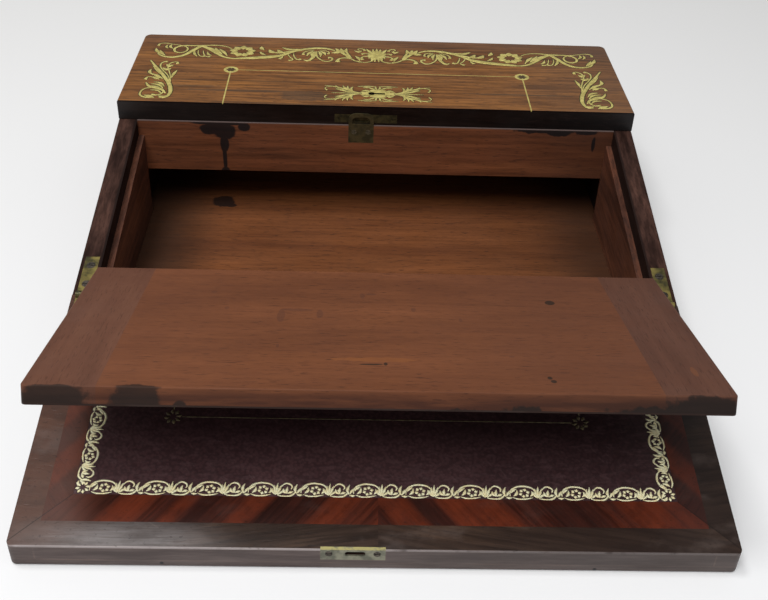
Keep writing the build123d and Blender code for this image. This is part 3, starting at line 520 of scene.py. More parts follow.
far_border = [
    # the outer scroll: hook, volute and the leaves at its foot
    ("curl", 0.85, [(-152, 96.5), (-157, 98.2), (-161.3, 97), (-162, 93)]),
    ("stem", 0.8, [(-155, 97.5), (-148, 95.5), (-141.5, 92.5), (-139.8, 87), (-142.5, 82.3), (-146.5, 82),
                   (-149.3, 86), (-148, 91.5), (-143.5, 94.5), (-136, 95), (-128, 95.8), (-119, 96.6),
                   (-112, 94.8), (-107.5, 91)]),
    ("leaf", 0.9, [(-152.6, 96), (-153, 92), (-150.8, 88.8)]),
    ("leaf", 0.7, [(-155.5, 95.5), (-156, 91.5), (-154.2, 88.5)]),
    ("leaf", 1.1, [(-163, 88.5), (-161.5, 83.5), (-158.8, 79.5)]),
    ("leaf", 1.2, [(-159.5, 85), (-157.6, 80), (-154.5, 76)]),
    ("stem", 1.35, [(-160.5, 80), (-157, 75.3), (-151.5, 73.2), (-145.5, 74.2), (-140.5, 78), (-136.5, 84.5),
                    (-133, 90.5), (-130, 94.2), (-126, 91.6), (-120.5, 85.5), (-115, 79), (-110, 75),
                    (-104, 73.4), (-97, 73.4)]),
    ("stem", 1.0, [(-139, 80.5), (-135, 86.5), (-132.5, 93.5)]),
    ("leaf", 1.5, [(-127.5, 93.5), (-122.5, 89.5), (-116.8, 82)]),
    ("leaf", 1.3, [(-120, 92), (-117.5, 86.5), (-113.5, 80.5)]),
    ("leaf", 1.1, [(-116.5, 90), (-113, 85), (-109.6, 78)]),
    ("leaf", 0.9, [(-134.5, 86), (-133.8, 80.5), (-131.3, 75.5)]),
    ("curl", 0.8, [(-131.8, 87), (-130.8, 80), (-128, 75.8), (-125.6, 77)]),
    ("curl", 0.8, [(-128, 86), (-127, 80.5), (-124.5, 75.8), (-121.6, 76)]),
    ("leaf", 0.8, [(-124.8, 84.5), (-123.6, 80), (-121, 77.8)]),
    # the long stem from the flower to the middle
    ("stem", 2.0, [(-103, 74), (-94, 75), (-85, 76.6), (-77, 78.6), (-70, 81.6), (-64, 86)]),
    ("stem", 1.3, [(-72, 81), (-65, 86), (-58.5, 91), (-50, 95), (-42, 96.4), (-35, 95), (-31, 92)]),
    ("leaf", 1.3, [(-86, 96.5), (-85.6, 93.3), (-83.6, 90.3)]),
    ("leaf", 1.0, [(-86.3, 87), (-84.6, 83.6), (-81.8, 81.2)]),
    ("leaf", 1.6, [(-79.8, 91), (-78, 87.4), (-74, 85.6)]),
    ("leaf", 1.4, [(-73.6, 91.6), (-71.6, 88), (-67.5, 84.6)]),
    ("stem", 1.0, [(-78.5, 86.6), (-72, 86), (-66.5, 87.8), (-61, 91)]),
    ("leaf", 1.2, [(-70.5, 95.6), (-66, 93), (-60.5, 92.2)]),
    ("stem", 1.0, [(-66, 93.5), (-60, 92.6), (-54, 93.8)]),
    ("curl", 0.9, [(-70.8, 82.5), (-69.3, 78.6), (-71.6, 75)]),
    ("curl", 0.9, [(-65.6, 83.6), (-63.8, 78.6), (-61.6, 74), (-64.6, 72.4)]),
    ("curl", 1.0, [(-61.6, 85), (-60.6, 79.6), (-57.8, 74.5), (-55.5, 75.6)]),
    # the palmette that hangs from the stem
    ("curl", 0.9, [(-46.5, 91.5), (-50.5, 91), (-54, 87.5), (-54.3, 83.6)]),
    ("leaf", 1.0, [(-47, 90.5), (-50, 87), (-51.6, 81.4)]),
    ("leaf", 1.1, [(-46, 90), (-47.6, 85), (-47.6, 79)]),
    ("stem", 1.1, [(-45, 90.5), (-45.6, 84), (-47.6, 77.5), (-51, 73), (-53.5, 74.6)]),
    ("curl", 1.2, [(-44.5, 90.5), (-44.4, 83), (-41.6, 76), (-36.5, 72.6), (-33, 75.6), (-33.6, 79.6),
                   (-36, 79.4)]),
    ("leaf", 1.0, [(-43.4, 90.5), (-41.6, 86), (-41.6, 80.6)]),
    ("leaf", 1.0, [(-42.4, 91), (-39, 88), (-38, 83.6)]),
    ("curl", 0.8, [(-42.4, 92), (-38.6, 92), (-35.4, 89), (-36, 86)]),
    # leaf cluster and the scroll beside the middle
    ("leaf", 1.5, [(-33.6, 88.6), (-29.4, 89.6), (-25.5, 92)]),
    ("leaf", 1.4, [(-30.6, 96.6), (-28.4, 92.6), (-25.4, 89)]),
    ("leaf", 1.3, [(-26.8, 96.8), (-25.8, 92.6), (-24.2, 89)]),
    ("leaf", 1.1, [(-22.4, 97.2), (-23, 93), (-22.4, 88.6)]),
    ("stem", 1.2, [(-27.5, 90), (-24, 86.6), (-21, 81.6), (-18.6, 77.4)]),
    ("stem", 1.0, [(-22.2, 91), (-21, 85), (-18.6, 79.6)]),
    ("curl", 1.4, [(-11, 73), (-15.4, 74.6), (-19.6, 78.6), (-24.6, 79.6), (-28.4, 76.4), (-28.6, 72.2)]),
    ("leaf", 1.1, [(-16, 83.6), (-13.6, 80), (-12.6, 75.6)]),
    ("curl", 1.0, [(-17, 75.6), (-11.5, 72.6), (-6, 73.4), (-2.9, 77.4), (-4.4, 82.4), (-8.6, 83.4),
                   (-11.4, 80.4), (-10.4, 77.2)]),
    ("curl", 0.9, [(-12.2, 93.6), (-14, 96.4), (-10.6, 97), (-8.6, 93.5)]),
    ("curl", 1.0, [(-4.6, 86), (-8, 88.6), (-11.4, 87.4)]),
    ("leaf", 1.0, [(-16.6, 93.4), (-13.4, 91.4), (-11, 93.6)]),
    ("leaf", 0.9, [(-7.6, 97), (-5.8, 93), (-4.6, 89)]),
]
far_border += flower(-99.2, 87, 9, 9.6, 2.35, 0.17)
middle_palmette = [
    ("leaf", 1.25, [(0.0, 86.0), (11.0 * math.sin(a) * 0.5, 86 + 11.5 * math.cos(a) * 0.55),
                    (11.0 * math.sin(a) * 0.62, 86 + 12.0 * math.cos(a))])
    for a in [math.radians(d) for d in range(0, 360, 24)]
]
corner_spray = [
    ("stem", 1.25, [(-163.5, 67), (-159, 58), (-153.5, 48), (-148.6, 38), (-144.6, 29), (-142.2, 20),
                    (-141.8, 12), (-144, 6.6), (-148, 6.4)]),
    ("stem", 0.8, [(-160, 57), (-155.5, 48.5), (-149, 39.5), (-145.4, 31)]),
    ("curl", 0.9, [(-144.6, 33), (-147.4, 42), (-152.4, 51), (-155, 58), (-154, 63.6), (-150.8, 65.4)]),
    ("curl", 0.9, [(-144, 31), (-145.4, 41), (-148, 51), (-149.4, 58), (-147.6, 63.4), (-144, 64.6),
                   (-143.4, 61.4)]),
    ("leaf", 1.5, [(-151, 60.4), (-148.6, 58), (-145.8, 59.4)]),
    ("leaf", 1.4, [(-152.6, 54.4), (-149.6, 52), (-146.6, 53.4)]),
    ("leaf", 0.9, [(-142, 51), (-143.6, 44.6), (-144.2, 38)]),
    ("leaf", 1.0, [(-160.4, 51.6), (-160.8, 46.6), (-157.4, 41.8)]),
    ("leaf", 1.2, [(-159.4, 44.4), (-154.4, 40.6), (-150, 36)]),
    ("curl", 0.9, [(-152, 34.6), (-156.4, 37.6), (-160.4, 38.4), (-161.8, 34)]),
    ("leaf", 1.5, [(-157.4, 38.8), (-154.4, 37), (-151.8, 39)]),
    ("leaf", 0.9, [(-155.4, 30.6), (-150.4, 29), (-146.8, 23.4)]),
    ("leaf", 0.9, [(-156.8, 27.4), (-151, 26), (-147.4, 20.6)]),
    ("leaf", 1.0, [(-158.6, 24), (-152.8, 23), (-147, 17.8)]),
    ("stem", 1.2, [(-160.4, 29.4), (-157.6, 24), (-152, 20.8), (-147.4, 18), (-144.6, 13)]),
    ("stem", 0.8, [(-155.6, 17.6), (-150.6, 17), (-147.6, 13)]),
    ("curl", 0.9, [(-155, 20.6), (-148.6, 20.4), (-146.4, 14.6), (-149.4, 10), (-153.6, 10.6)]),
    ("curl", 1.2, [(-154.4, 21.8), (-159.4, 19.4), (-161.6, 13.6), (-160.2, 8), (-155.4, 6), (-152, 7.6)]),
    ("leaf", 1.4, [(-158.4, 9.4), (-154.6, 7.8), (-151, 5.6)]),
    ("leaf", 1.4, [(-142.6, 9.4), (-145.4, 7.2), (-148.6, 9)]),
]
keyhole_x, keyhole_y = -4.0, 20.4
escutcheon_middle = 0.3


def escutcheon_strokes():
    """Sprays on each side of the keyhole plate, and a palmette above and below it."""
    half = []
    for up in (1, -1):
        def at(x, y):
            return (x, keyhole_y + up * y)
        half += [
            ("stem", 0.75, [at(-11.5, 0.5), at(-17, 2.6), at(-23, 6.4), at(-29, 9.6), at(-37, 11.4)]),
            ("curl", 0.65, [at(-29, 9.3), at(-33.4, 9.8), at(-36.6, 7.2), at(-35.2, 4.0)]),
            ("leaf", 0.95, [at(-17, 3.4), at(-20.6, 7.0), at(-21.0, 11.4)]),
            ("leaf", 0.8, [at(-17.6, 4.2), at(-18.4, 7.6), at(-17.2, 10.2)]),
            ("leaf", 0.8, [at(-19.4, 5.0), at(-23.2, 8.6), at(-24.4, 11.8)]),
            ("leaf", 0.85, [at(-24, 7.2), at(-27.4, 8.6), at(-29.6, 11.8)]),
            ("leaf", 0.85, [at(-13, 0.6), at(-21.0, 2.6), at(-29.4, 5.6)]),
            ("leaf", 0.85, [at(-22, 3.4), at(-25.4, 5.4), at(-29.6, 7.4)]),
            ("stem", 0.7, [at(-0.5, 11.0), at(-7.5, 11.6), at(-14.0, 11.0)]),
            ("leaf", 0.8, [at(-0.5, 6.4), at(-1.4, 8.4), at(-1.4, 11.0)]),
            ("leaf", 0.8, [at(-1.8, 6.6), at(-4.2, 8.0), at(-6.6, 9.4)]),
            ("leaf", 0.8, [at(-4.6, 9.0), at(-7.6, 9.6), at(-10.4, 9.2)]),
            ("leaf", 1.1, [at(-5.4, 3.0), at(-8.0, 4.6), at(-11.2, 3.6)]),
        ]
    half.append(("stem", 0.6, [(-11, keyhole_y), (-22, keyhole_y), (-32, keyhole_y)]))
    both = mirrored(half)
    return [(shape, width, [(x + escutcheon_middle, y) for x, y in points]) for shape, width, points in both]


bold = [(shape, 1.3 * half, points) for shape, half, points in far_border + corner_spray]
marquetry = mirrored(bold) + middle_palmette + escutcheon_strokes()
lid_place = Matrix.Translation((0, lid_front, lid_top))
inlay_piece("lid_marquetry_outline", stroke_mesh("Outline", marquetry, 0.42, 0.012),
            lid_place, engraved_line, "lid")
inlay_piece("lid_marquetry", stroke_mesh("Marquetry", marquetry, 0.1, 0.045),
            lid_place, inlay_brass, "lid")

# ---- Lock, staple plate and lock plate ----------------------------------------------------
# Cast and sheet brass gone dull and greenish brown. The staple's arch stands up in front of
# the lid's selvedge, and the plate in the leaf's end has a slot for the bolt.

lock_brass = brass_material("Dull lock brass", (0.075, 0.06, 0.024, 1), (0.03, 0.026, 0.012, 1), 0.45, 0.5,
                            260.0)
staple_brass = brass_material("Dull staple brass", (0.1, 0.078, 0.034, 1), (0.055, 0.046, 0.022, 1), 0.45,
                              0.5, 260.0)


def lip_tint(tree, place, color):
    """The plate's upper edge, rubbed bright by the bolt."""
    height = add(tree, "SeparateXYZ", {0: place}).outputs["Z"]
    lip = ramp(tree, height, plate_top - 0.7 * MM, plate_top - 0.2 * MM)
    worn = ramp(tree, noise(tree, place, (300.0,) * 3, 2.0), 0.35, 0.5, 0.3, 1.0)
    return mixed(tree, maths(tree, "MULTIPLY", lip, worn), color, (0.42, 0.37, 0.15, 1))


plate_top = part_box("leaf_lock_plate")[1].z
plate_brass = brass_material("Lock plate brass", (0.26, 0.25, 0.18, 1), (0.13, 0.13, 0.095, 1), 0.45, 0.4,
                             200.0, lip_tint)
dress(lock_brass, "lock_selvedge", "lock_screws", "lock_bolt")
dress(brass_material("Dark lock case", (0.02, 0.017, 0.009, 1), (0.01, 0.009, 0.006, 1), 0.6, 0.3), "lock_case")
dress(staple_brass, "staple_plate")
dress(plate_brass, "leaf_lock_plate")

# ---- Bandings of the leaf and the flap ------------------------------------------------------
# An outer band of dark rosewood, cut across the grain, and an inner band of reddish kingwood
# with slanting stripes, mitred at the corners and glued round the leather.

leaf_low, leaf_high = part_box("leaf_outer_banding")
leather_low, leather_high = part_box("leaf_leather")


def slanted(tree, place, middle, half_x, half_y, slant):
    """Grain that slants one way on the long strips and is turned on the short ones."""
    local = vector_maths(tree, "SUBTRACT", place, middle)
    parts = add(tree, "SeparateXYZ", {0: local}).outputs
    across = maths(tree, "ABSOLUTE", parts["X"])
    past_x = maths(tree, "SUBTRACT", across, half_x)
    past_y = maths(tree, "SUBTRACT", maths(tree, "ABSOLUTE", parts["Y"]), half_y)
    short_strip = maths(tree, "GREATER_THAN", past_x, past_y)
    other_leaf = maths(tree, "MULTIPLY", maths(tree, "SIGN", parts["X"]), 0.21)
    mirrored_place = add(tree, "CombineXYZ", {"X": across, "Y": parts["Y"], "Z": other_leaf}).outputs[0]
    long_grain = turned(tree, mirrored_place, slant)
    short_grain = turned(tree, mirrored_place, -slant)
    sockets = {0: short_strip, 4: long_grain, 5: short_grain}
    apart = maths(tree, "ABSOLUTE", maths(tree, "SUBTRACT", past_x, past_y))
    outside = maths(tree, "GREATER_THAN", maths(tree, "MINIMUM", past_x, past_y), 0.0)
    mitre = maths(tree, "MULTIPLY", ramp(tree, apart, 0.5 * MM, 0.15 * MM), outside)
    return add(tree, "Mix", sockets, data_type="VECTOR").outputs[1], mitre


def band_material(name, colors, origin, angle, middle, half_x, half_y, slant, figure, roughness, wear,
                  tint=None):
    """Banding wood whose grain turns at the mitres."""
    material, tree, place = new_material(name)
    flat = in_frame(tree, place, origin, angle)
    grain, mitre = slanted(tree, flat, middle, half_x, half_y, slant)
    wood = placed(tree, wood_group, Place=grain, Deep=colors[0], Middle=colors[1], Light=colors[2],
                  Figure=figure, Waviness=0.002, Streaks=0.6, Pores=0.5)
    color = tint(tree, flat, wood["Color"]) if tint else wood["Color"]
    scuffs = ramp(tree, noise(tree, place, (30.0, 50.0, 50.0), 4.0), 0.52, 0.7)
    pits = ramp(tree, noise(tree, place, (420.0, 700.0, 700.0), 2.0), 0.62, 0.72)
    faded = mixed(tree, maths(tree, "MULTIPLY", scuffs, wear), color, (0.15, 0.11, 0.095, 1))
    dark = maths(tree, "MAXIMUM", maths(tree, "MULTIPLY", pits, 0.35), maths(tree, "MULTIPLY", mitre, 0.7))
    color = mixed(tree, dark, faded, (0.01, 0.006, 0.005, 1))
    finish_surface(tree, color, ramp(tree, scuffs, 0.0, 1.0, roughness, roughness + 0.12), wood["Grain"], 0.15,
                   Coat_Weight=0.08, Coat_Roughness=0.3, Specular_IOR_Level=0.2)
    return material


leaf_end_along = (leaf_low.y - slope_hinge.y) / math.cos(slope_angle)
leather_back_along = (leather_high.y - slope_hinge.y) / math.cos(slope_angle)
leather_front_along = (leather_low.y - slope_hinge.y) / math.cos(slope_angle)
leaf_middle = (0, (leather_back_along + leather_front_along) / 2, 0)
leaf_half_x = leather_high.x
leaf_half_y = (leather_back_along - leather_front_along) / 2
brown_band = ((0.024, 0.014, 0.01, 1), (0.046, 0.027, 0.019, 1), (0.08, 0.046, 0.03, 1))


def outer_tint(tree, flat, color):
    """Painted light lighter and redder at the left, painted shade to the right, a painted sheen on worn polish
    at the left-front corner, a painted highlight on the front arris, and scratches.
    """
    parts = add(tree, "SeparateXYZ", {0: flat}).outputs
    # painted light: lighter and redder at the left
    left = ramp(tree, parts["X"], -120 * MM, -160 * MM)
    color = mixed(tree, maths(tree, "MULTIPLY", left, 0.6), color, (0.125, 0.05, 0.03, 1))
    from_corner = vector_maths(tree, "SUBTRACT", flat, (-122 * MM, leaf_end_along + 2 * MM, 0))
    from_corner = vector_maths(tree, "DIVIDE", from_corner, (64 * MM, 19 * MM, DEEP * MM))
    away = add(tree, "VectorMath", {0: from_corner}, operation="LENGTH").outputs["Value"]
    # painted sheen over worn, bleached polish at the left-front corner
    threads = ramp(tree, noise(tree, flat, (40.0, 700.0, 100.0), 3.0, 0.6), 0.3, 0.65, 0.55, 1.0)
    bleach_and_sheen = maths(tree, "MULTIPLY", ramp(tree, away, 1.0, 0.15), threads)
    color = mixed(tree, maths(tree, "MULTIPLY", bleach_and_sheen, 0.8), color, (0.24, 0.215, 0.21, 1))
    lines = noise(tree, turned(tree, flat, 0.5), (26.0, 1500.0, 40.0), 2.0)
    corner = blots(tree, flat, [((-135, -140, 0), (36, 24, DEEP), 0.9)])
    scratched = maths(tree, "MULTIPLY", ramp(tree, lines, 0.62, 0.7), corner)
    color = mixed(tree, maths(tree, "MULTIPLY", scratched, 0.3), color, (0.2, 0.16, 0.14, 1))
    # painted shade: darker to the right
    right = ramp(tree, parts["X"], 0.0, 130 * MM)
    color = mixed(tree, maths(tree, "MULTIPLY", right, 0.5), color, (0.022, 0.013, 0.011, 1))
    mottle = ramp(tree, noise(tree, flat, (50.0, 90.0, 90.0), 4.0, 0.6), 0.4, 0.65)
    color = mixed(tree, maths(tree, "MULTIPLY", mottle, 0.35), color, (0.028, 0.016, 0.012, 1))
    # painted highlight along the front arris, strongest at the left
    arris = ramp(tree, parts["Y"], leaf_end_along + 0.75 * MM, leaf_end_along + 0.3 * MM)
    strength = ramp(tree, parts["X"], 100 * MM, -50 * MM, 0.3, 1.0)
    arris_highlight_breaks = ramp(tree, noise(tree, flat, (60.0, 20.0, 20.0), 3.0), 0.25, 0.45)
    arris = maths(tree, "MULTIPLY", arris, maths(tree, "MULTIPLY", strength, arris_highlight_breaks))
    return mixed(tree, arris, color, (0.36, 0.31, 0.3, 1))


def veneer_pieces(tree, along, pieces):
    """1 on pieces of veneer, each (middle, half-width) in millimetres along the strip."""
    mask = None
    for middle, half in pieces:
        away = maths(tree, "ABSOLUTE", maths(tree, "SUBTRACT", along, middle * MM))
        piece = ramp(tree, away, (half + 3.5) * MM, (half - 3.0) * MM)
        mask = piece if mask is None else maths(tree, "MAXIMUM", mask, piece)
    return mask


front_orange = [(-122, 8), (-97, 4), (-63, 6), (-21, 7), (11, 8), (40, 6), (55, 9), (134, 11), (152, 6)]
front_dark = [(-84, 9), (-44, 8), (27, 4), (97, 13)]
side_orange = [(-112, 9), (-78, 6), (-40, 8)]
side_dark = [(-95, 5), (-60, 8)]
strip_lean = 1 / math.tan(math.radians(52))


def inner_tint(tree, flat, color):
    """Bright orange pieces of veneer among the dark red ones, as the slanting strips were cut, with painted
    light at the left and painted shade at the right end.
    """
    parts = add(tree, "SeparateXYZ", {0: flat}).outputs
    across = maths(tree, "ABSOLUTE", parts["X"])
    rise = maths(tree, "SUBTRACT", parts["Y"], leather_front_along - 7.5 * MM)
    lean = maths(tree, "MULTIPLY", maths(tree, "MULTIPLY", rise, strip_lean), maths(tree, "SIGN", parts["X"]))
    along_front = maths(tree, "ADD", parts["X"], lean)
    inward = maths(tree, "SUBTRACT", leaf_half_x + 6.2 * MM, across)
    along_side = maths(tree, "SUBTRACT", parts["Y"], maths(tree, "DIVIDE", inward, strip_lean))
    past_x = maths(tree, "SUBTRACT", across, leaf_half_x)
    past_y = maths(tree, "SUBTRACT", leather_front_along, parts["Y"])
    side = maths(tree, "GREATER_THAN", past_x, past_y)
    grain = ramp(tree, noise(tree, flat, (90.0, 90.0, 90.0), 4.0, 0.7), 0.3, 0.6, 0.45, 1.0)
    for pieces, side_pieces, tone, amount in (
            (front_dark, side_dark, (0.026, 0.0085, 0.0065, 1), 0.5),
            (front_orange, side_orange, (0.19, 0.033, 0.011, 1), 0.5)):
        front_mask = veneer_pieces(tree, along_front, pieces)
        side_mask = veneer_pieces(tree, along_side, side_pieces)
        mask = add(tree, "Mix", {0: side, 2: front_mask, 3: side_mask}).outputs[0]
        mask = maths(tree, "MULTIPLY", maths(tree, "MULTIPLY", mask, grain), amount)
        color = mixed(tree, mask, color, tone)
    # painted shade at the right end and painted light at the left
    far = ramp(tree, parts["X"], 135 * MM, 160 * MM)
    painted_light_left = ramp(tree, parts["X"], -125 * MM, -150 * MM)
    color = mixed(tree, maths(tree, "MULTIPLY", painted_light_left, 0.4), color, (0.13, 0.045, 0.026, 1))
    return mixed(tree, maths(tree, "MULTIPLY", far, 0.4), color, (0.045, 0.016, 0.013, 1))


outer_band = band_material("Rosewood outer banding", brown_band, slope_hinge, slope_angle, leaf_middle,
                           leaf_half_x, leaf_half_y, math.radians(9), (9.0, 70.0, 70.0), 0.3, 0.3,
                           outer_tint)
kingwood = ((0.036, 0.0105, 0.007, 1), (0.062, 0.015, 0.009, 1), (0.1, 0.021, 0.01, 1))
inner_band = band_material("Kingwood banding", kingwood, slope_hinge, slope_angle, leaf_middle,
                           leaf_half_x, leaf_half_y, math.radians(52), (9.0, 42.0, 42.0), 0.3, 0.05,
                           inner_tint)
dress(outer_band, "leaf_outer_banding")
dress(inner_band, "leaf_inner_banding")

# ---- Leather of the writing surface and its gilt tooling ------------------------------------
# Plum skiver leather, lightly grained and scuffed, glued down inside the bands. A border of
# gilt scrolls and small flowers runs round it, with a thin gilt line and rosettes inside.


def leather_material():
    """Dark plum leather with a fine pebble and fine scratches, and painted shade to the right."""
    material, tree, place = new_material("Plum leather")
    pebble = add(tree, "TexVoronoi", {"Vector": place, "Scale": 620.0}, feature="SMOOTH_F1").outputs["Distance"]
    crease = noise(tree, place, (160.0, 420.0, 420.0), 4.0, 0.6)
    fade = ramp(tree, noise(tree, place, (14.0, 22.0, 22.0), 4.0), 0.35, 0.7)
    color = mixed(tree, fade, (0.062, 0.027, 0.029, 1), (0.092, 0.042, 0.044, 1))
    # painted shade: darker to the right
    right = ramp(tree, add(tree, "SeparateXYZ", {0: place}).outputs["X"], -90 * MM, 140 * MM)
    color = mixed(tree, maths(tree, "MULTIPLY", right, 0.5), color, (0.02, 0.008, 0.009, 1))
    hollow = ramp(tree, pebble, 0.25, 0.6)
    color = mixed(tree, maths(tree, "MULTIPLY", hollow, 0.45), color, (0.018, 0.008, 0.009, 1))
    folds = ramp(tree, crease, 0.52, 0.66)
    color = mixed(tree, maths(tree, "MULTIPLY", folds, 0.3), color, (0.11, 0.052, 0.056, 1))
    scratch = ramp(tree, noise(tree, turned(tree, place, 0.9), (14.0, 900.0, 900.0), 2.0), 0.64, 0.72)
    color = mixed(tree, maths(tree, "MULTIPLY", scratch, 0.25), color, (0.12, 0.07, 0.07, 1))
    height = maths(tree, "ADD", maths(tree, "MULTIPLY", pebble, 0.8), crease)
    finish_surface(tree, color, ramp(tree, crease, 0.3, 0.7, 0.38, 0.55), height, 0.9,
                   Sheen_Weight=0.1, Sheen_Roughness=0.4)
    return material


plum_leather = leather_material()
dress(plum_leather, "leaf_leather", "flap_leather")

gilt = brass_material("Gilt tooling", (1.0, 0.96, 0.64, 1), (0.95, 0.82, 0.46, 1), 0.38, 0.05, 500.0)
# a darker, duller gilt for the thin inner lines
dark_gilt = brass_material("Dark gilt line", (0.2, 0.16, 0.08, 1), (0.09, 0.065, 0.035, 1), 0.45, 0.2, 400.0)

BORDER_STEP = 25.3            # one repeat of the roll
border_repeat = [
    # the scroll over the rose
    ("stem", 0.62, [(0.8, 1.6), (1.2, 4.6), (4.2, 6.9), (8.6, 7.3), (12.4, 5.8), (13.4, 3.2)]),
    ("stem", 0.6, [(1.8, 1.0), (4.6, 0.0), (8.4, 0.1), (11.8, 0.9)]),
    ("leaf", 0.85, [(2.6, 1.6), (4.0, 3.0), (4.4, 5.2)]),
    ("leaf", 0.8, [(1.4, 3.4), (2.6, 5.0), (4.2, 5.8)]),
    ("leaf", 0.75, [(10.6, 1.6), (11.8, 2.8), (11.4, 4.6)]),
    # the fan
    ("leaf", 0.75, [(14.2, 0.6), (12.8, 2.2), (12.2, 4.2)]),
    ("leaf", 0.8, [(14.3, 0.8), (13.4, 3.4), (13.2, 6.2)]),
    ("leaf", 0.8, [(14.5, 0.8), (14.4, 4.0), (14.8, 7.4)]),
    ("leaf", 0.8, [(14.7, 0.8), (15.6, 3.6), (16.6, 6.2)]),
    ("leaf", 0.7, [(14.8, 0.6), (16.4, 2.0), (17.8, 3.4)]),
    # the arc with its leafy flower
    ("stem", 0.6, [(16.6, 5.2), (18.2, 7.0), (20.4, 6.9), (21.8, 5.2), (21.2, 3.8)]),
    ("stem", 0.65, [(14.8, 0.4), (17.4, -0.1), (20.6, 0.0), (22.8, 1.4), (23.8, 3.6)]),
    ("leaf", 0.85, [(19.4, 1.4), (17.8, 2.6), (17.4, 4.2)]),
    ("leaf", 0.9, [(19.5, 1.4), (19.2, 3.2), (19.6, 5.2)]),
    ("leaf", 0.85, [(19.7, 1.4), (21.2, 2.2), (22.4, 2.4)]),
    ("leaf", 0.85, [(24.0, 1.2), (23.2, 4.0), (24.2, 6.8)]),
    ("leaf", 0.8, [(24.3, 1.4), (25.2, 3.2), (26.0, 4.6)]),
    ("leaf", 0.75, [(24.1, 0.8), (25.6, 0.6), (27.0, 0.7)]),
]
border_repeat += flower(7.8, 3.4, 6, 2.7, 1.0, 0.3)


def gilt_border(half_x, half_y):
    """Strokes of the roll round a rectangle, its outer edge at half_x and half_y."""
    made = []
    runs = (("x", 2 * half_x, 0.0), ("y", 2 * half_y, math.pi / 2))
    for axis, length, angle in runs:
        count = max(1, round((length - 12) / BORDER_STEP))
        squeeze = (length - 12) / (count * BORDER_STEP)
        offset = half_y if axis == "x" else half_x
        for turn in (angle, angle + math.pi):
            c, s = math.cos(turn), math.sin(turn)
            for i in range(count):
                start = -length / 2 + 6 + i * BORDER_STEP * squeeze
                for shape, half, points in border_repeat:
                    moved = [(start + x * squeeze, y - offset) for x, y in points]
                    made.append((shape, half, [(x * c - y * s, x * s + y * c) for x, y in moved]))
    for x in (-1, 1):
        for y in (-1, 1):
            centre = (x * (half_x - 3.4), y * (half_y - 3.4))
            made += flower(*centre, 8, 3.6, 0.8, 0.2)
    return made


def inner_line(half_x, near, far):
    """The thin gilt line, stopped by a rosette at each corner."""
    made = []
    reach = 4.6
    for y in (near, far):
        made.append(("even", 0.3, [(-half_x + reach, y), (half_x - reach, y)]))
        for x in (-half_x, half_x):
            made += flower(x, y, 8, reach, 0.95, 0.2)
    for x in (-half_x, half_x):
        made.append(("even", 0.3, [(x, near + reach), (x, far - reach)]))
    return made


BORDER_FROM_EDGE = 0.5
leaf_tooling_x = leaf_half_x / MM - BORDER_FROM_EDGE
leaf_tooling_y = leaf_half_y / MM - BORDER_FROM_EDGE
INNER_LINE_X = 106.5
INNER_LINE_ALONG = -84.5      # front line, measured along the slope from the hinge
inner_from_border = 14.0
leaf_line = inner_line(INNER_LINE_X, INNER_LINE_ALONG - leaf_middle[1] / MM, leaf_tooling_y - inner_from_border)
leather_top = -0.3
leaf_tooling_place = (Matrix.Translation(slope_hinge) @ Matrix.Rotation(slope_angle, 4, "X")
                      @ Matrix.Translation((0, leaf_middle[1], leather_top * MM)))
inlay_piece("leaf_gilt_tooling",
            stroke_mesh("Leaf tooling", gilt_border(leaf_tooling_x, leaf_tooling_y), 0.0, 0.12, 0, 3),
            leaf_tooling_place, gilt, "leaf")
inlay_piece("leaf_gilt_line", stroke_mesh("Leaf line", leaf_line, 0.0, 0.12, 0, 3),
            leaf_tooling_place, dark_gilt, "leaf")

# ---- Flap -------------------------------------------------------------------------------
# A mahogany panel with a clamped cleat across each end, seen from its plain back. It is
# scuffed and ring-marked, and its free edge is dark with handling and ink.

flap_hinge = Vector(joints["flap_fold"]["pos_m"])
flap_turn = slope_angle + math.radians(joints["flap_fold"]["range_deg"][1])
flap_length = 150.7
flap_back = -10.0


def flap_place(tree, place):
    return in_frame(tree, place, flap_hinge, flap_turn)


flap_marks = [
    ((-51.5, 66, flap_back), (2.2, 9, DEEP), 0.9),
    ((-44, 58.2, flap_back), (9, 1.9, DEEP), 1.0),
    ((-31.5, 63, flap_back), (2.0, 6, DEEP), 0.9),
    ((-80.5, 57, flap_back), (1.3, 2.0, DEEP), 0.6),
    ((-90, 35, flap_back), (1.8, 1.8, DEEP), 0.6),
    ((-9, 37, flap_back), (1.6, 4.2, DEEP), 0.8),
    ((-4.5, 34.5, flap_back), (3.2, 1.4, DEEP), 0.8),
    ((18, 55, flap_back), (1.4, 2.6, DEEP), 0.8),
    ((42, 68, flap_back), (1.0, 2.4, DEEP), 0.5),
    ((63, 111, flap_back), (1.5, 1.3, DEEP), 0.5),
    ((-50.5, 103, flap_back), (0.8, 2.4, DEEP), 0.5),
]
flap_spots = [
    ((93, 42, flap_back), (2.9, 3.4, DEEP), 0.35),
    ((79, 137, flap_back), (1.5, 1.8, DEEP), 0.6),
    ((77.8, 133.5, flap_back), (1.2, 1.6, DEEP), 0.6),
    ((-5, 122.3, flap_back), (6, 0.9, DEEP), 0.5),
    ((1.8, 121.5, flap_back), (1.0, 1.8, DEEP), 0.5),
]
edge_ink = [
    ((-148, flap_length + 1, -5), (19, 4.6, 12), 0.8),
    ((-109.6, flap_length + 1, -7), (12.5, 5.4, 12), 0.9),
    ((-90.8, flap_length, 0), (3.4, 3, 4.6), 0.5),
    ((118, flap_length + 1, -1), (14, 2.6, 5.6), 1.4),
    ((148, flap_length + 1, -4), (22, 4.2, 10), 1.0),
    ((134, flap_length + 1, -1), (34, 3.4, 5), 1.4),
    ((65, flap_length + 1, -1), (10, 2.4, 5), 1.4),
    ((36, flap_length + 1, 0), (7, 2.0, 3.4), 1.4),
]


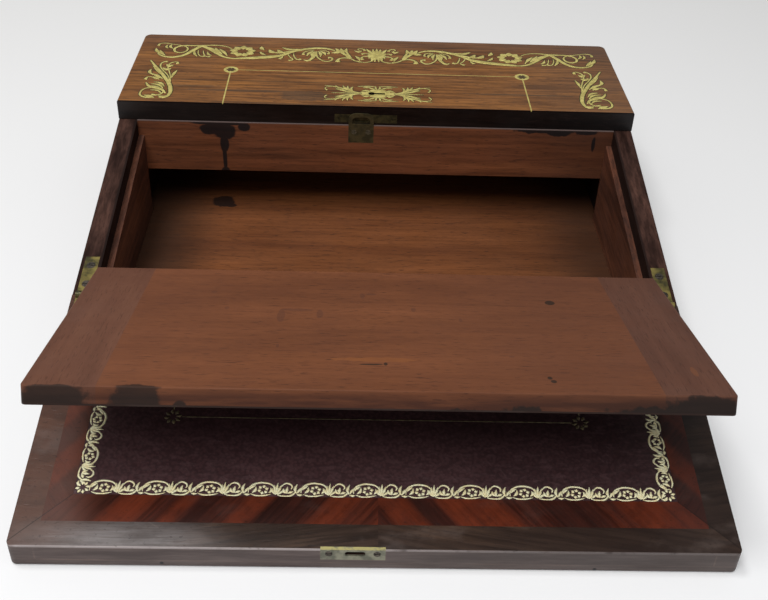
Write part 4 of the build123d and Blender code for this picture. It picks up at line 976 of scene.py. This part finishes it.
def flap_tint(tree, place, color):
    local = flap_place(tree, place)
    parts = add(tree, "SeparateXYZ", {0: local}).outputs
    warm = [((-2, 117, flap_back), (22, 2.6, DEEP), 1.3), ((148, 124, flap_back), (1.6, 5, DEEP), 0.6)]
    color = mixed(tree, maths(tree, "MULTIPLY", blots(tree, local, warm), 0.35), color, (0.32, 0.11, 0.03, 1))
    color = ink_on(tree, color, blots(tree, local, flap_marks), 0.3, (0.035, 0.02, 0.02, 1))
    left = ramp(tree, parts["X"], -40 * MM, -130 * MM)
    color = mixed(tree, maths(tree, "MULTIPLY", left, 0.3), color, (0.17, 0.064, 0.034, 1))
    right = ramp(tree, parts["X"], 0.0, 110 * MM)
    color = mixed(tree, maths(tree, "MULTIPLY", right, 0.35), color, (0.095, 0.038, 0.024, 1))
    mottle = ramp(tree, noise(tree, local, (55.0, 80.0, 80.0), 4.0, 0.7), 0.3, 0.7)
    color = mixed(tree, maths(tree, "MULTIPLY", mottle, 0.22), color, (0.105, 0.036, 0.02, 1))
    color = ink_on(tree, color, blots(tree, local, flap_spots), 0.8, (0.018, 0.014, 0.01, 1))
    face = ramp(tree, parts["Y"], (flap_length - 2.4) * MM, (flap_length - 0.6) * MM)
    grimy = ramp(tree, noise(tree, local, (24.0, 60.0, 260.0), 3.0), 0.3, 0.6, 0.5, 0.95)
    color = mixed(tree, maths(tree, "MULTIPLY", face, grimy), color, (0.05, 0.018, 0.011, 1))
    dirty = maths(tree, "MULTIPLY", face, ramp(tree, parts["X"], 30 * MM, 150 * MM))
    color = mixed(tree, maths(tree, "MULTIPLY", dirty, 0.45), color, (0.022, 0.013, 0.01, 1))
    arris = ramp(tree, parts["Z"], flap_back * MM + 1.3 * MM, flap_back * MM + 0.5 * MM)
    worn = ramp(tree, noise(tree, local, (30.0, 12.0, 12.0), 3.0), 0.4, 0.6)
    arris = maths(tree, "MULTIPLY", maths(tree, "MULTIPLY", arris, face), worn)
    color = mixed(tree, maths(tree, "MULTIPLY", arris, 0.35), color, (0.26, 0.1, 0.045, 1))
    return ink_on(tree, color, blots(tree, local, edge_ink), 0.8, (0.012, 0.01, 0.009, 1))


def flap_wood(name, colors, figure, angle):
    """Flap wood with its grain laid in the flap's own frame."""
    material, tree, place = new_material(name)
    local = flap_place(tree, place)
    grain = turned(tree, local, angle) if angle else local
    wood = placed(tree, wood_group, Place=grain, Deep=colors[0], Middle=colors[1], Light=colors[2],
                  Figure=figure, Waviness=0.004, Streaks=0.13, Pores=0.55)
    color = flap_tint(tree, place, wood["Color"])
    rub = noise(tree, place, (30.0, 30.0, 30.0), 4.0)
    finish_surface(tree, color, ramp(tree, rub, 0.3, 0.7, 0.5, 0.65), wood["Grain"], 0.12,
                   Specular_IOR_Level=0.14)
    return material


panel_colors = ((0.155, 0.053, 0.022, 1), (0.185, 0.064, 0.026, 1), (0.22, 0.077, 0.032, 1))
cleat_colors = ((0.1, 0.044, 0.028, 1), (0.13, 0.057, 0.036, 1), (0.165, 0.074, 0.045, 1))
dress(flap_wood("Mahogany flap panel", panel_colors, (5.0, 30.0, 30.0), 0.0), "flap_panel")
dress(flap_wood("Mahogany cleats", cleat_colors, (6.0, 55.0, 55.0), math.pi / 2), "flap_left_cleat",
      "flap_right_cleat")

flap_low_x, flap_high_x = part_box("flap_banding")[0].x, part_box("flap_banding")[1].x
flap_leather_half_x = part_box("flap_leather")[1].x
flap_middle = (0, (0.4 + flap_length) / 2 * MM, 0)
flap_leather_half_y = (flap_length - 0.4) / 2 * MM - (flap_high_x - flap_leather_half_x)


def flap_band_tint(tree, flat, color):
    """Dark where the banding's edge shows on the flap's free edge."""
    along = add(tree, "SeparateXYZ", {0: flat}).outputs["Y"]
    edge = ramp(tree, along, (flap_length - 1.2) * MM, (flap_length - 0.5) * MM)
    return mixed(tree, edge, color, (0.025, 0.013, 0.01, 1))


flap_band = band_material("Kingwood flap banding", kingwood, flap_hinge, flap_turn, flap_middle,
                          flap_leather_half_x, flap_leather_half_y, math.radians(52), (9.0, 42.0, 42.0),
                          0.3, 0.05, flap_band_tint)
dress(flap_band, "flap_banding")
flap_tooling_x = flap_leather_half_x / MM - BORDER_FROM_EDGE
flap_tooling_y = flap_leather_half_y / MM - BORDER_FROM_EDGE
flap_line = inner_line(INNER_LINE_X, inner_from_border - flap_tooling_y, flap_tooling_y - 26)
flap_tooling_place = (Matrix.Translation(flap_hinge) @ Matrix.Rotation(flap_turn, 4, "X")
                      @ Matrix.Translation((0, flap_middle[1], -1.2 * MM)))
inlay_piece("flap_gilt_tooling",
            stroke_mesh("Flap tooling", gilt_border(flap_tooling_x, flap_tooling_y), 0.0, 0.12, 0, 3),
            flap_tooling_place, gilt, "flap")
inlay_piece("flap_gilt_line", stroke_mesh("Flap line", flap_line, 0.0, 0.12, 0, 3),
            flap_tooling_place, dark_gilt, "flap")

# ---- Hinges, pins and screws ---------------------------------------------------------------
# Brass strap hinges let into the rails, in bright and dull green-brown patches; brass
# butts for the flap and the lid. The countersunk screws are darkened steel.

hinge_brass = brass_material("Strap hinge brass", (0.28, 0.22, 0.065, 1), (0.05, 0.046, 0.022, 1), 0.4, 0.6,
                             110.0)
steel = brass_material("Dark steel screws", (0.12, 0.1, 0.08, 1), (0.04, 0.035, 0.03, 1), 0.45, 0.85, 800.0)
pale_screw = brass_material("Pale staple screws", (0.2, 0.18, 0.12, 1), (0.1, 0.09, 0.06, 1), 0.4, 0.7, 800.0)
dress(hinge_brass, *[name for name in nodes if "hinge" in name and "plate" in name])
dress(steel, *[name for name in nodes if name.endswith("pins") or "hinge" in name and "screws" in name])
dress(steel, "leaf_lock_screws")
dress(pale_screw, "staple_screws")

# ---- Table, light and camera ------------------------------------------------------------
# A plain pale table under broad soft light from over the viewer's shoulder and from high on
# the left, seen from the front of the opened box by someone standing over it.


def table_material():
    """Pale board with painted light, a little brighter near the camera."""
    material, tree, place = new_material("Pale table")
    parts = add(tree, "SeparateXYZ", {0: place}).outputs
    # painted light: colour and camera-ray lift grow a little towards the camera
    away = ramp(tree, parts["Y"], -0.35, 0.75)
    color = mixed(tree, away, (0.86, 0.86, 0.865, 1), (0.85, 0.84, 0.825, 1))
    seen = add(tree, "LightPath").outputs
    direct = maths(tree, "MAXIMUM", seen["Is Camera Ray"], seen["Is Glossy Ray"])
    lift = maths(tree, "MULTIPLY", direct, ramp(tree, parts["Y"], -0.35, 0.3, 0.06, 0.04))
    finish_surface(tree, color, 0.6, Emission_Color=(1, 1, 1, 1), Emission_Strength=lift)
    return material


def table_top(reach=4.0):
    """A flat table with its top at the height of the object's base."""
    shape = bmesh.new()
    bmesh.ops.create_grid(shape, x_segments=1, y_segments=1, size=reach)
    mesh = bpy.data.meshes.new("table")
    shape.to_mesh(mesh)
    shape.free()
    mesh.materials.append(table_material())
    table = bpy.data.objects.new("table", mesh)
    bpy.context.scene.collection.objects.link(table)


table_top()

world = bpy.data.worlds.new("Room")
bpy.context.scene.world = world
world.use_nodes = True
world.node_tree.nodes["Background"].inputs["Color"].default_value = (0.96, 0.98, 1.0, 1)
world.node_tree.nodes["Background"].inputs["Strength"].default_value = 0.3


def soft_lamp(name, place, target, size, power):
    """A large square lamp aimed at a point."""
    light = bpy.data.lights.new(name, "AREA")
    light.size = size
    light.energy = power
    lamp = bpy.data.objects.new(name, light)
    lamp.location = place
    lamp.rotation_euler = (Vector(target) - Vector(place)).to_track_quat("-Z", "Y").to_euler()
    bpy.context.scene.collection.objects.link(lamp)


soft_lamp("over_the_shoulder", (-0.35, -1.0, 1.95), (0, 0, 0), 1.2, 30)
soft_lamp("high_left", (-0.6, 0.0, 1.9), (0, 0, 0), 0.5, 10)

CAMERA_PLACE = (-14.33, -640.24, 401.0)   # millimetres from the lid's front edge, table level
CAMERA_YAW, CAMERA_PITCH, CAMERA_ROLL = 2.1459, 36.4353, 2.3773
FOCAL_PIXELS = 1036.94
IMAGE_WIDTH = 768
camera_data = bpy.data.cameras.new("camera")
camera_data.sensor_width = 36
camera_data.lens = FOCAL_PIXELS * camera_data.sensor_width / IMAGE_WIDTH
camera = bpy.data.objects.new("camera", camera_data)
camera.matrix_world = (Matrix.Translation(Vector(CAMERA_PLACE) * MM + Vector((0, lid_front, 0)))
                       @ Matrix.Rotation(-math.radians(CAMERA_YAW), 4, "Z")
                       @ Matrix.Rotation(math.radians(90 - CAMERA_PITCH), 4, "X")
                       @ Matrix.Rotation(math.radians(CAMERA_ROLL), 4, "Z"))
bpy.context.scene.collection.objects.link(camera)
bpy.context.scene.camera = camera
bpy.context.scene.view_settings.view_transform = "Standard"
